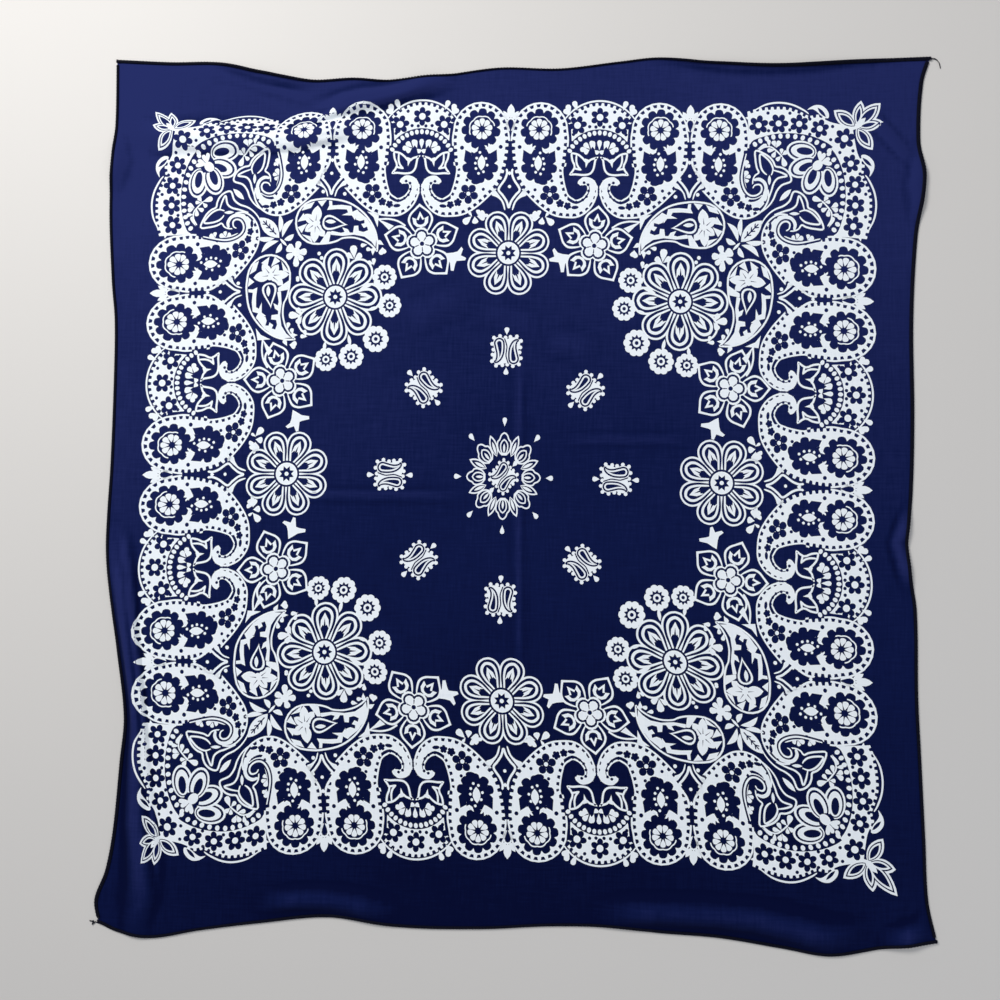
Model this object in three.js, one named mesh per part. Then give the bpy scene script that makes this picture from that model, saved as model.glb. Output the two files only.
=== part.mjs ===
// A square cotton bandana, laid out flat on a surface, as one cloth panel and four overlocked hems.
// Millimetres. +X runs to the right along the lower hem, +Y to the top hem, +Z up from the surface.
// The origin is the middle of the bandana's footprint, on the surface.
import * as THREE from "three";

// Driving dimensions
const CUT_WIDTH = 529; // left cut edge to right cut edge
const CUT_HEIGHT = 559; // bottom cut edge to top cut edge
const WALL = 1; // thickness of the cloth wall
const HEM_WIDTH = 3.4; // overlock stitching, from the cut edge inwards
const HEM_THICKNESS = 1.8;
const HEM_ROUND = 0.5; // size of the bevel along each of the hem's corners
const SEAM_GAP = 0.3; // between the panel and a hem, and between two hems

// The grid of the panel: fine cells where the edges are folded, wide ones in the flat middle
const FINE_BAND = 32; // width of the finely divided strip along each side
const FINE_CELLS = 6; // cells across that strip
const MIDDLE_CELLS = 34; // cells across the rest

// Where the middle of the footprint lies from the middle of the cut
const FOOTPRINT_X = -1.5;
const FOOTPRINT_Y = -3.75;

const HALF_WIDTH = CUT_WIDTH / 2;
const HALF_HEIGHT = CUT_HEIGHT / 2;
const PANEL_INSET = HEM_WIDTH + SEAM_GAP; // the panel's rim lies this far inside the cut edge

// How far each side lies outside (+) or inside (-) its straight cut line.
// along: place on that side, from its middle. out: distance outwards.
const TOP_SIDE = [
  { along: -264.5, out: 2.2 },
  { along: -230, out: 0.2 },
  { along: -197, out: -0.3 },
  { along: -170, out: -6.6 },
  { along: -137, out: -12.3 },
  { along: -108, out: -11.2 },
  { along: -84, out: -12.8 },
  { along: -51, out: -10.2 },
  { along: -12, out: -5.3 },
  { along: 27, out: -6.2 },
  { along: 66, out: -1.9 },
  { along: 92, out: 0.6 },
  { along: 125, out: -2.8 },
  { along: 169, out: -4.7 },
  { along: 220, out: -1.9 },
  { along: 264.5, out: -0.3 },
];
const BOTTOM_SIDE = [
  { along: -264.5, out: 1.0 },
  { along: -250, out: 6.4 },
  { along: -228, out: 9.6 },
  { along: -196, out: 3.9 },
  { along: -158, out: -1.5 },
  { along: -114, out: -6.2 },
  { along: -69, out: -1.2 },
  { along: -18, out: -1.3 },
  { along: 25, out: -4.1 },
  { along: 63, out: -4.3 },
  { along: 94, out: -1.7 },
  { along: 131, out: 0.4 },
  { along: 168, out: 5.6 },
  { along: 199, out: 9.6 },
  { along: 235, out: 3.7 },
  { along: 264.5, out: 0.1 },
];
const LEFT_SIDE = [
  { along: -279.5, out: -2.4 },
  { along: -265, out: 0.2 },
  { along: -247, out: -6.2 },
  { along: -222, out: -10.4 },
  { along: -178, out: -13.6 },
  { along: -150, out: -15.4 },
  { along: -108, out: -9.6 },
  { along: -76, out: -4.6 },
  { along: -37, out: -0.6 },
  { along: 15, out: -1.9 },
  { along: 67, out: -2.4 },
  { along: 107, out: -1.8 },
  { along: 134, out: 1.0 },
  { along: 187, out: 4.0 },
  { along: 238, out: 1.6 },
  { along: 279.5, out: 2.1 },
];
const RIGHT_SIDE = [
  { along: -279.5, out: -0.6 },
  { along: -254, out: -5.9 },
  { along: -217, out: -7.4 },
  { along: -168, out: -9.4 },
  { along: -131, out: -10.9 },
  { along: -75, out: -11.4 },
  { along: -50, out: -15.2 },
  { along: -31, out: -16.6 },
  { along: -6, out: -13.5 },
  { along: 45, out: -11.8 },
  { along: 108, out: -11.9 },
  { along: 160, out: -8.9 },
  { along: 199, out: -3.5 },
  { along: 225, out: -6.4 },
  { along: 262, out: -4.3 },
  { along: 279.5, out: 1.0 },
];

// How far into the cloth the shift of each side reaches before it has died away
const TOP_REACH = 60;
const BOTTOM_REACH = 55;
const LEFT_REACH = 30;
const RIGHT_REACH = 60;
const HEM_HOLD = 4; // the strip along a side that moves as one with it

// Places where the laid cloth has been tugged sideways in its own plane.
// u, v: middle of the tug on the cut cloth. spread: its radius. dx, dy: how far the cloth moved there.
const TUGS = [
  { u: -190, v: 246, spread: 62, dx: 0, dy: -11 },
  { u: -226, v: -236, spread: 62, dx: 10, dy: -5 },
  { u: 222, v: -238, spread: 70, dx: 8, dy: -4 },
  { u: 0, v: -246, spread: 90, dx: 4, dy: 0 },
];
const TUG_FADE = 30; // a tug dies away to nothing over this distance from the cut edges

// The largest folds that stand up from the surface.
// path: points on the cut cloth. half: half the fold's width. height: at its middle.
// ends: length over which it runs out at either end.
const FOLDS = [
  // long standing fold down the lower left side, running out over the lower hem
  {
    path: [[-259, -20], [-254, -80], [-252, -150], [-249, -215], [-236, -292]],
    half: 11,
    height: 5.5,
    ends: 60,
  },
  // ripple through the upper left corner of the print
  { path: [[-254, 236], [-205, 240], [-150, 240], [-96, 246]], half: 13, height: 4.5, ends: 30 },
  // slanting fold that runs out over the top hem
  { path: [[-140, 256], [-100, 265], [-70, 271], [-38, 279]], half: 11, height: 4.5, ends: 30 },
  // curled lip of the top hem, left and right of the middle
  { path: [[-205, 284], [-165, 281], [-128, 283]], half: 9, height: 3.2, ends: 26 },
  { path: [[84, 285], [140, 282], [190, 283], [256, 287]], half: 9, height: 3.5, ends: 30 },
  // ridges inside the bottom hem, which rolls down from them
  { path: [[-168, -263], [-125, -266], [-66, -272]], half: 12, height: 4.5, ends: 32 },
  { path: [[48, -272], [90, -266], [150, -264], [222, -270]], half: 13, height: 6, ends: 40 },
  // small turned-up corner, lower right
  { path: [[226, -276], [266, -270]], half: 12, height: 4.5, ends: 22 },
  // dips and waves of the side hems
  { path: [[266, -8], [257, -34], [264, -66]], half: 9, height: 3, ends: 20 },
  { path: [[-268, 236], [-262, 214], [-268, 188]], half: 10, height: 2.6, ends: 18 },
  { path: [[266, 222], [260, 196], [267, 168]], half: 10, height: 2.4, ends: 20 },
];

const SLOPE_STEP = 0.25; // half the distance over which a slope is measured

// A smooth line through the rows of a side table.
function outAt(side, along) {
  const last = side.length - 1;
  const at = THREE.MathUtils.clamp(along, side[0].along, side[last].along);
  let i = 0;
  while (i < last - 1 && at > side[i + 1].along) i += 1;
  const slopeAt = (k) => {
    const before = side[Math.max(k - 1, 0)];
    const after = side[Math.min(k + 1, last)];
    return (after.out - before.out) / (after.along - before.along);
  };
  const start = side[i];
  const end = side[i + 1];
  const gap = end.along - start.along;
  const t = (at - start.along) / gap;
  const fromStart = start.out * (1 + 2 * t) * (1 - t) ** 2 + slopeAt(i) * gap * t * (1 - t) ** 2;
  const fromEnd = end.out * t * t * (3 - 2 * t) - slopeAt(i + 1) * gap * t * t * (1 - t);
  return fromStart + fromEnd;
}

// The share of a side's shift that is left at a distance from it.
function fading(distance, reach) {
  return THREE.MathUtils.clamp((reach - distance) / (reach - HEM_HOLD), 0, 1);
}

// Distance from a point of the cut cloth to a fold's path, and how far along the path it is nearest.
function nearestOnPath(path, u, v) {
  const best = { distance: Infinity, along: 0, length: 0 };
  for (let i = 0; i < path.length - 1; i += 1) {
    const [au, av] = path[i];
    const du = path[i + 1][0] - au;
    const dv = path[i + 1][1] - av;
    const length = Math.hypot(du, dv);
    const t = THREE.MathUtils.clamp(((u - au) * du + (v - av) * dv) / length ** 2, 0, 1);
    const distance = Math.hypot(u - au - t * du, v - av - t * dv);
    if (distance < best.distance) {
      best.distance = distance;
      best.along = best.length + t * length;
    }
    best.length += length;
  }
  return best;
}

// Height of the cloth's underside above the surface.
function heightAt(u, v) {
  let height = 0;
  for (const fold of FOLDS) {
    const near = nearestOnPath(fold.path, u, v);
    if (near.distance < fold.half) {
      const across = (1 - (near.distance / fold.half) ** 2) ** 2;
      const toEnd = Math.min(near.along, near.length - near.along) / fold.ends;
      height = Math.max(height, fold.height * across * THREE.MathUtils.smoothstep(toEnd, 0, 1));
    }
  }
  return height;
}

// Where a point of the cut cloth lies: u to the right and v up from the middle of the cut.
function underside(u, v) {
  const x =
    u -
    outAt(LEFT_SIDE, v) * fading(u + HALF_WIDTH, LEFT_REACH) +
    outAt(RIGHT_SIDE, v) * fading(HALF_WIDTH - u, RIGHT_REACH);
  const y =
    v -
    outAt(BOTTOM_SIDE, u) * fading(v + HALF_HEIGHT, BOTTOM_REACH) +
    outAt(TOP_SIDE, u) * fading(HALF_HEIGHT - v, TOP_REACH);
  const place = new THREE.Vector3(x - FOOTPRINT_X, y - FOOTPRINT_Y, heightAt(u, v));
  const inside = Math.min(HALF_WIDTH - Math.abs(u), HALF_HEIGHT - Math.abs(v));
  const free = THREE.MathUtils.smoothstep(inside, 0, TUG_FADE);
  for (const tug of TUGS) {
    const share = free * Math.exp(-((u - tug.u) ** 2 + (v - tug.v) ** 2) / (2 * tug.spread ** 2));
    place.x += tug.dx * share;
    place.y += tug.dy * share;
  }
  return place;
}

// A point of the cloth at a distance above its underside, square to the cloth.
function above(u, v, distance) {
  const across = underside(u + SLOPE_STEP, v).sub(underside(u - SLOPE_STEP, v));
  const upward = underside(u, v + SLOPE_STEP).sub(underside(u, v - SLOPE_STEP));
  return underside(u, v).addScaledVector(across.cross(upward).normalize(), distance);
}

// Grid lines from one side of the cloth to the other, close together near both sides.
function gridLines(halfSize) {
  const lines = [];
  const middle = halfSize - FINE_BAND;
  for (let i = 0; i < FINE_CELLS; i += 1) lines.push(-halfSize + (FINE_BAND * i) / FINE_CELLS);
  for (let i = 0; i <= MIDDLE_CELLS; i += 1) lines.push(-middle + (2 * middle * i) / MIDDLE_CELLS);
  for (let i = FINE_CELLS - 1; i >= 0; i -= 1) lines.push(halfSize - (FINE_BAND * i) / FINE_CELLS);
  return lines;
}

function meshOf(name, points, faces, material) {
  const geometry = new THREE.BufferGeometry().setFromPoints(points);
  geometry.setIndex(faces.flat());
  geometry.computeVertexNormals();
  const mesh = new THREE.Mesh(geometry, material);
  mesh.name = name;
  return mesh;
}

// The panel: an upper and a lower sheet of points, closed by a wall round the rim.
function clothPanel(material) {
  const us = gridLines(HALF_WIDTH - PANEL_INSET);
  const vs = gridLines(HALF_HEIGHT - PANEL_INSET);
  const points = [];
  for (const distance of [0, WALL]) {
    for (const v of vs) {
      for (const u of us) points.push(above(u, v, distance));
    }
  }
  const columns = us.length;
  const rows = vs.length;
  const upper = columns * rows;
  const faces = [];
  const quad = (a, b, c, d) => faces.push([a, b, c], [a, c, d]);
  for (let j = 0; j < rows - 1; j += 1) {
    for (let i = 0; i < columns - 1; i += 1) {
      const a = j * columns + i;
      const b = a + 1;
      const c = b + columns;
      const d = a + columns;
      quad(upper + a, upper + b, upper + c, upper + d);
      quad(a, d, c, b);
    }
  }
  const rim = [];
  for (let i = 0; i < columns - 1; i += 1) rim.push(i);
  for (let j = 0; j < rows - 1; j += 1) rim.push(j * columns + columns - 1);
  for (let i = columns - 1; i > 0; i -= 1) rim.push((rows - 1) * columns + i);
  for (let j = rows - 1; j > 0; j -= 1) rim.push(j * columns);
  rim.forEach((a, k) => {
    const b = rim[(k + 1) % rim.length];
    quad(a, b, upper + b, upper + a);
  });
  return meshOf("cloth_panel", points, faces, material);
}

// The bevelled section of a hem, which is swept along its side.
// in: distance from the cut edge. up: height above the underside.
const HEM_SECTION = [
  { in: HEM_WIDTH, up: HEM_ROUND },
  { in: HEM_WIDTH - HEM_ROUND, up: 0 },
  { in: HEM_ROUND, up: 0 },
  { in: 0, up: HEM_ROUND },
  { in: 0, up: HEM_THICKNESS - HEM_ROUND },
  { in: HEM_ROUND, up: HEM_THICKNESS },
  { in: HEM_WIDTH - HEM_ROUND, up: HEM_THICKNESS },
  { in: HEM_WIDTH, up: HEM_THICKNESS - HEM_ROUND },
];

// stations: places along the side, going anticlockwise round the bandana.
// place(s, in) gives the cut-cloth point at s along the side and in from the cut edge.
function hem(name, stations, place, material) {
  const steps = stations.length - 1;
  const points = [];
  for (const s of stations) {
    for (const corner of HEM_SECTION) {
      const [u, v] = place(s, corner.in);
      points.push(above(u, v, corner.up));
    }
  }
  const round = HEM_SECTION.length;
  const faces = [];
  for (let k = 0; k < steps; k += 1) {
    for (let i = 0; i < round; i += 1) {
      const a = k * round + i;
      const b = k * round + ((i + 1) % round);
      faces.push([a, b + round, b], [a, a + round, b + round]);
    }
  }
  const end = steps * round;
  for (let i = 1; i < round - 1; i += 1) {
    faces.push([0, i, i + 1], [end, end + i + 1, end + i]);
  }
  return meshOf(name, points, faces, material);
}

function matt(name, color) {
  return new THREE.MeshStandardMaterial({ name, color, roughness: 0.85, metalness: 0 });
}

const navyCotton = matt("navy_cotton", 0x1b2160);
const navyThread = matt("navy_thread", 0x0b0d26);

// A hem's stations are the panel's own grid lines, so that the two stay parallel round every bend.
// The top and bottom hems run on to the corners, and the side hems stop where those begin.
const across = gridLines(HALF_WIDTH - PANEL_INSET);
const toCorners = [-HALF_WIDTH, ...across, HALF_WIDTH];
const upward = gridLines(HALF_HEIGHT - PANEL_INSET);

const group = new THREE.Group();
group.name = "bandana";
group.add(clothPanel(navyCotton));
group.add(hem("hem_bottom", toCorners, (s, inwards) => [s, inwards - HALF_HEIGHT], navyThread));
group.add(hem("hem_right", upward, (s, inwards) => [HALF_WIDTH - inwards, s], navyThread));
group.add(hem("hem_top", toCorners, (s, inwards) => [-s, HALF_HEIGHT - inwards], navyThread));
group.add(hem("hem_left", upward, (s, inwards) => [inwards - HALF_WIDTH, -s], navyThread));

export default group;
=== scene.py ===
# %% [markdown]
# # A navy bandana with a white paisley print, laid out flat
# A square of thin cotton lies on a pale surface, face up. Its four cut edges are overlocked,
# and its sides have stayed slightly folded and rolled, as cloth does when it is put down by hand.
# Every length is in millimetres until the points of a mesh are written, which are in metres.
# +X runs to the right along the lower hem, +Y to the top hem and +Z up from the surface.

import math

import bpy
import numpy as np
from mathutils import Matrix, Vector
from mathutils.geometry import delaunay_2d_cdt


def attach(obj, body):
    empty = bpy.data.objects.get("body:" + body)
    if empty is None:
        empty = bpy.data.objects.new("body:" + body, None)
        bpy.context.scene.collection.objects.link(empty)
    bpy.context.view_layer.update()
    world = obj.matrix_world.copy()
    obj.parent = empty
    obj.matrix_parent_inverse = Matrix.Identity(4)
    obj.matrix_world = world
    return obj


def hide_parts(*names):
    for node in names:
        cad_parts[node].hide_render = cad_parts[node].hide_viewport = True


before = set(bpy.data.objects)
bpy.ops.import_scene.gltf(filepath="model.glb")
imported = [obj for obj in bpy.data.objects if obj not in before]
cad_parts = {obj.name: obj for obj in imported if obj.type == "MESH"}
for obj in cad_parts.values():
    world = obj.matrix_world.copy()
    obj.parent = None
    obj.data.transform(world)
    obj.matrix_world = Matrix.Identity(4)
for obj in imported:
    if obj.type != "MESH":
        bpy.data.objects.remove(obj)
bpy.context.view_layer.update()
print("CAD nodes:", sorted(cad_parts))

MM = 0.001
scene = bpy.context.scene

# %% [markdown]
# ## The camera
# The photo looks almost straight down from about 0.67 m, leaning back by three degrees, so the camera comes
# first.

# %% Camera
CAMERA_PLACE = (20.5, -38.7, 670.8)
CAMERA_RIGHT = (0.99911, 0.0110, -0.04083)
CAMERA_UP = (-0.00892, 0.99867, 0.05081)
CAMERA_BACK = (0.04134, -0.0504, 0.99787)

camera_data = bpy.data.cameras.new("camera")
camera_data.sensor_width = 36
camera_data.lens = 37.8
camera_data.clip_start = 0.01
camera = bpy.data.objects.new("camera", camera_data)
scene.collection.objects.link(camera)
turn = Matrix((CAMERA_RIGHT, CAMERA_UP, CAMERA_BACK)).transposed()
camera.matrix_world = Matrix.Translation(Vector(CAMERA_PLACE) * MM) @ turn.to_4x4()
scene.camera = camera
print("camera height over the cloth:", round(camera.location.z, 3), "m")

# %% [markdown]
# ## Light and surface
# The light is soft and comes mostly from the upper left, where the navy looks lightest in the photo,
# and it falls off towards the lower right. The surface is plain and pale.

# %% Light and surface
def area_light(name, place, target, size, power, colour):
    data = bpy.data.lights.new(name, "AREA")
    data.shape = "DISK"
    data.size = size
    data.energy = power
    data.color = colour
    light = bpy.data.objects.new(name, data)
    light.location = place
    light.rotation_euler = (Vector(target) - Vector(place)).to_track_quat("-Z", "Y").to_euler()
    scene.collection.objects.link(light)
    return light


area_light("window", (-0.62, 0.78, 0.95), (-0.02, 0.05, 0), 0.55, 14.2, (1.0, 0.985, 0.96))
area_light("fill", (0.75, -0.55, 1.15), (0, 0, 0), 1.3, 4.4, (0.93, 0.96, 1.0))

world = bpy.data.worlds.new("soft room")
world.use_nodes = True
background = world.node_tree.nodes["Background"]
background.inputs["Color"].default_value = (0.86, 0.9, 1.0, 1)
background.inputs["Strength"].default_value = 0.34
scene.world = world
scene.view_settings.view_transform = "Standard"


def plain_material(name, colour, roughness):
    material = bpy.data.materials.new(name)
    material.use_nodes = True
    shader = material.node_tree.nodes["Principled BSDF"]
    shader.inputs["Base Color"].default_value = (*colour, 1)
    shader.inputs["Roughness"].default_value = roughness
    return material


def mesh_object(name, points, faces, materials=(), smooth=True):
    """A mesh from millimetre points, at the origin and untransformed."""
    mesh = bpy.data.meshes.new(name)
    mesh.from_pydata((np.asarray(points) * MM).tolist(), [], [list(map(int, face)) for face in faces])
    mesh.update()
    obj = bpy.data.objects.new(name, mesh)
    for material in materials:
        mesh.materials.append(material)
    mesh.polygons.foreach_set("use_smooth", [smooth] * len(mesh.polygons))
    scene.collection.objects.link(obj)
    return obj


FLOOR = 3000
floor = mesh_object(
    "floor",
    [(-FLOOR, -FLOOR, 0), (FLOOR, -FLOOR, 0), (FLOOR, FLOOR, 0), (-FLOOR, FLOOR, 0)],
    [(0, 1, 2, 3)],
    [plain_material("pale_surface", (0.66, 0.64, 0.61), 0.6)],
    smooth=False,
)

# %% [markdown]
# ## How the cloth lies
# The cut cloth is 529 mm wide and 559 mm high. A few short tables say how far each side lies from its
# straight cut line, where the cloth was tugged in its own plane, and where it stands up in soft folds.
# Working with a function from the cut cloth to its place keeps panel, hems, stitches and print on one
# surface. The rows of the sides aren't worked out from a size: they were chosen and rounded from distances
# that another script measured along the cloth's edge in the photo.

# %% Cut and sides
CUT_WIDTH = 529
CUT_HEIGHT = 559
HALF_WIDTH = CUT_WIDTH / 2
HALF_HEIGHT = CUT_HEIGHT / 2
HEM_WIDTH = 3.4
HEM_HOLD = 4

# Middle of the footprint, seen from the middle of the cut
FOOTPRINT_X = -1.5
FOOTPRINT_Y = -3.75

# Rows: place along the side from its middle, distance outwards
SIDES = {
    "top": [
        (-264.5, 2.2), (-230, 0.2), (-197, -0.3), (-170, -6.6),
        (-137, -12.3), (-108, -11.2), (-84, -12.8), (-51, -10.2),
        (-12, -5.3), (27, -6.2), (66, -1.9), (92, 0.6),
        (125, -2.8), (169, -4.7), (220, -1.9), (264.5, -0.3),
    ],
    "bottom": [
        (-264.5, 1.0), (-250, 6.4), (-228, 9.6), (-196, 3.9),
        (-158, -1.5), (-114, -6.2), (-69, -1.2), (-18, -1.3),
        (25, -4.1), (63, -4.3), (94, -1.7), (131, 0.4),
        (168, 5.6), (199, 9.6), (235, 3.7), (264.5, 0.1),
    ],
    "left": [
        (-279.5, -2.4), (-265, 0.2), (-247, -6.2), (-222, -10.4),
        (-178, -13.6), (-150, -15.4), (-108, -9.6), (-76, -4.6),
        (-37, -0.6), (15, -1.9), (67, -2.4), (107, -1.8),
        (134, 1.0), (187, 4.0), (238, 1.6), (279.5, 2.1),
    ],
    "right": [
        (-279.5, -0.6), (-254, -5.9), (-217, -7.4), (-168, -9.4),
        (-131, -10.9), (-75, -11.4), (-50, -15.2), (-31, -16.6),
        (-6, -13.5), (45, -11.8), (108, -11.9), (160, -8.9),
        (199, -3.5), (225, -6.4), (262, -4.3), (279.5, 1.0),
    ],
}
# How far into the cloth the shift of a side reaches
REACH = {"top": 60, "bottom": 55, "left": 30, "right": 60}


def out_at(side, along):
    """A smooth line through the rows of a side."""
    rows = np.array(SIDES[side])
    place, out = rows[:, 0], rows[:, 1]
    slope = np.gradient(out) / np.gradient(place)
    at = np.clip(along, place[0], place[-1])
    i = np.clip(np.searchsorted(place, at, side="right") - 1, 0, len(place) - 2)
    gap = place[i + 1] - place[i]
    t = (at - place[i]) / gap
    start = out[i] * (1 + 2 * t) * (1 - t) ** 2 + slope[i] * gap * t * (1 - t) ** 2
    end = out[i + 1] * t * t * (3 - 2 * t) - slope[i + 1] * gap * t * t * (1 - t)
    return start + end


def fading(distance, reach):
    return np.clip((reach - distance) / (reach - HEM_HOLD), 0, 1)


def smoothstep(x, start=0.0, end=1.0):
    t = np.clip((x - start) / (end - start), 0, 1)
    return t * t * (3 - 2 * t)


# %% [markdown]
# The tugs are where the photo shows the cloth pulled sideways. The folds that stand up are those of the CAD
# part. The soft relief is lower than a millimetre or so: slack ripples in the field and the creases of the
# folded packet, which the light picks out on the navy.

# %% Tugs and folds
# Rows: u, v, spread, dx, dy
TUGS = [(-190, 246, 62, 0, -11), (-226, -236, 62, 10, -5), (222, -238, 70, 8, -4), (0, -246, 90, 4, 0)]
TUG_FADE = 30

# Rows: path on the cut cloth, half width, height, length of the run-outs
FOLDS = [
    ([(-259, -20), (-254, -80), (-252, -150), (-249, -215), (-236, -292)], 11, 5.5, 60),
    ([(-254, 236), (-205, 240), (-150, 240), (-96, 246)], 13, 4.5, 30),
    ([(-140, 256), (-100, 265), (-70, 271), (-38, 279)], 11, 4.5, 30),
    ([(-205, 284), (-165, 281), (-128, 283)], 9, 3.2, 26),
    ([(84, 285), (140, 282), (190, 283), (256, 287)], 9, 3.5, 30),
    ([(-168, -263), (-125, -266), (-66, -272)], 12, 4.5, 32),
    ([(48, -272), (90, -266), (150, -264), (222, -270)], 13, 6, 40),
    ([(226, -276), (266, -270)], 12, 4.5, 22),
    ([(266, -8), (257, -34), (264, -66)], 9, 3, 20),
    ([(-268, 236), (-262, 214), (-268, 188)], 10, 2.6, 18),
    ([(266, 222), (260, 196), (267, 168)], 10, 2.4, 20),
]
SOFT_RELIEF = [
    ([(-81, 101), (-50, 117), (-23, 127)], 15, 1.2, 26),
    ([(16, 95), (36, 92), (54, 85)], 12, 1.0, 16),
    ([(-30, 118), (-6, 110), (20, 98)], 12, 0.8, 20),
    ([(-196, 60), (-150, 78), (-120, 82)], 16, 0.8, 30),
    ([(60, -70), (96, -92), (120, -132)], 16, 0.9, 34),
    ([(-120, -70), (-84, -96), (-70, -128)], 15, 0.8, 30),
    ([(3, 90), (2, 20), (3, -60), (3, -130)], 4.5, 0.7, 40),
    ([(-160, -6), (-90, -6), (-25, -6)], 4.5, 0.7, 36),
    ([(25, 30), (70, 31), (120, 31)], 4.5, 0.5, 30),
    ([(225, 245), (244, 226), (262, 207)], 7, 1.3, 16),
    ([(-254, -28), (-252, -46), (-249, -63)], 5, 1.0, 14),
    ([(-250, -40), (-247, -100), (-244, -150), (-240, -200), (-232, -262)], 3.8, 1.9, 40),
    ([(-259, -64), (-257, -100), (-254, -140)], 2.8, 1.0, 20),
    ([(-150, 251), (-112, 258), (-78, 266), (-50, 274)], 3.4, 1.4, 24),
    ([(-214, 276), (-170, 272), (-132, 268)], 3.2, 1.2, 20),
    ([(-246, 228), (-205, 233), (-150, 233), (-104, 238)], 3.4, 1.0, 24),
]


def near_path(path, u, v):
    """Distance to a path, and how far along it the nearest point lies."""
    best = np.full(np.shape(u), np.inf)
    along = np.zeros(np.shape(u))
    length = 0.0
    for (au, av), (bu, bv) in zip(path[:-1], path[1:]):
        span = math.hypot(bu - au, bv - av)
        t = np.clip(((u - au) * (bu - au) + (v - av) * (bv - av)) / span**2, 0, 1)
        distance = np.hypot(u - au - t * (bu - au), v - av - t * (bv - av))
        closer = distance < best
        best = np.where(closer, distance, best)
        along = np.where(closer, length + t * span, along)
        length += span
    return best, along, length


def fold_height(fold, u, v):
    path, half, height, ends = fold
    distance, along, length = near_path(path, u, v)
    across = np.clip(1 - (distance / half) ** 2, 0, 1) ** 2
    return height * across * smoothstep(np.minimum(along, length - along) / ends)


def height_at(u, v):
    """Height of the cloth's underside above the surface."""
    high = np.zeros(np.shape(u))
    for fold in FOLDS:
        high = np.maximum(high, fold_height(fold, u, v))
    soft = np.zeros(np.shape(u))
    for fold in SOFT_RELIEF:
        soft = soft + fold_height(fold, u, v)
    # slow waves, a few tenths of a millimetre, that no laid cloth is without
    waves = np.sin(u / 31 + 1.3 * np.sin(v / 47)) * np.sin(v / 37 + 0.8 * np.sin(u / 53))
    inside = np.minimum(HALF_WIDTH - np.abs(u), HALF_HEIGHT - np.abs(v))
    return high + (soft + 0.16 * (1 + waves)) * smoothstep(inside, 0, 20)


def shifted(u, v):
    """Where a point of the cut cloth lies in the plane, from the middle of the cut."""
    x = u - out_at("left", v) * fading(u + HALF_WIDTH, REACH["left"])
    x = x + out_at("right", v) * fading(HALF_WIDTH - u, REACH["right"])
    y = v - out_at("bottom", u) * fading(v + HALF_HEIGHT, REACH["bottom"])
    y = y + out_at("top", u) * fading(HALF_HEIGHT - v, REACH["top"])
    free = smoothstep(np.minimum(HALF_WIDTH - np.abs(u), HALF_HEIGHT - np.abs(v)), 0, TUG_FADE)
    for tug_u, tug_v, spread, dx, dy in TUGS:
        share = free * np.exp(-((u - tug_u) ** 2 + (v - tug_v) ** 2) / (2 * spread**2))
        x = x + dx * share
        y = y + dy * share
    return x, y


CLEARANCE = 0.05  # the cloth lies this far above the surface


def underside(u, v):
    u = np.asarray(u, float)
    v = np.asarray(v, float)
    x, y = shifted(u, v)
    return np.stack([x - FOOTPRINT_X, y - FOOTPRINT_Y, height_at(u, v) + CLEARANCE], -1)


def normal_at(u, v, step=0.25):
    across = underside(u + step, v) - underside(u - step, v)
    upward = underside(u, v + step) - underside(u, v - step)
    normal = np.cross(across, upward)
    return normal / np.linalg.norm(normal, axis=-1, keepdims=True)


def above(u, v, distance):
    return underside(u, v) + normal_at(u, v) * np.asarray(distance)[..., None]


print("highest fold:", round(float(height_at(np.array([-252.0]), np.array([-150.0]))[0]), 2), "mm")

# %% [markdown]
# ## Cloth
# Thin dyed cotton in plain weave: one thread over, one under, about 24 to the centimetre. The weave is a
# product of two sine waves on the object's own coordinates, used as a fine bump. Longer noise, drawn out
# along either thread direction, gives the slubs and the slightly uneven dye that show as faint streaks in
# the photo.

# %% Material helpers
def nodes_of(name):
    material = bpy.data.materials.new(name)
    material.use_nodes = True
    tree = material.node_tree
    return material, tree, tree.nodes["Principled BSDF"]


def math_node(tree, operation, first, second=None):
    node = tree.nodes.new("ShaderNodeMath")
    node.operation = operation
    for socket, value in zip(node.inputs, (first, second)):
        if isinstance(value, (int, float)):
            socket.default_value = value
        elif value is not None:
            tree.links.new(value, socket)
    return node.outputs[0]


def noise(tree, vector, scale, detail, stretch=(1, 1, 1)):
    mapping = tree.nodes.new("ShaderNodeMapping")
    mapping.inputs["Scale"].default_value = stretch
    tree.links.new(vector, mapping.inputs["Vector"])
    node = tree.nodes.new("ShaderNodeTexNoise")
    node.inputs["Scale"].default_value = scale
    node.inputs["Detail"].default_value = detail
    tree.links.new(mapping.outputs[0], node.inputs["Vector"])
    return node.outputs["Fac"]


def ramp(tree, factor, stops):
    node = tree.nodes.new("ShaderNodeValToRGB")
    elements = node.color_ramp.elements
    for element, (position, colour) in zip(elements, (stops[0], stops[-1])):
        element.position = position
        element.color = (*colour, 1)
    for position, colour in stops[1:-1]:
        element = elements.new(position)
        element.color = (*colour, 1)
    tree.links.new(factor, node.inputs["Fac"])
    return node.outputs["Color"]


def weave(tree, coordinates, pitch):
    """Height of a plain weave, from -1 to 1."""
    split = tree.nodes.new("ShaderNodeSeparateXYZ")
    tree.links.new(coordinates, split.inputs[0])
    turns = math.pi / (pitch * MM)
    across = math_node(tree, "SINE", math_node(tree, "MULTIPLY", split.outputs[0], turns))
    upward = math_node(tree, "SINE", math_node(tree, "MULTIPLY", split.outputs[1], turns))
    return math_node(tree, "MULTIPLY", across, upward)


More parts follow.
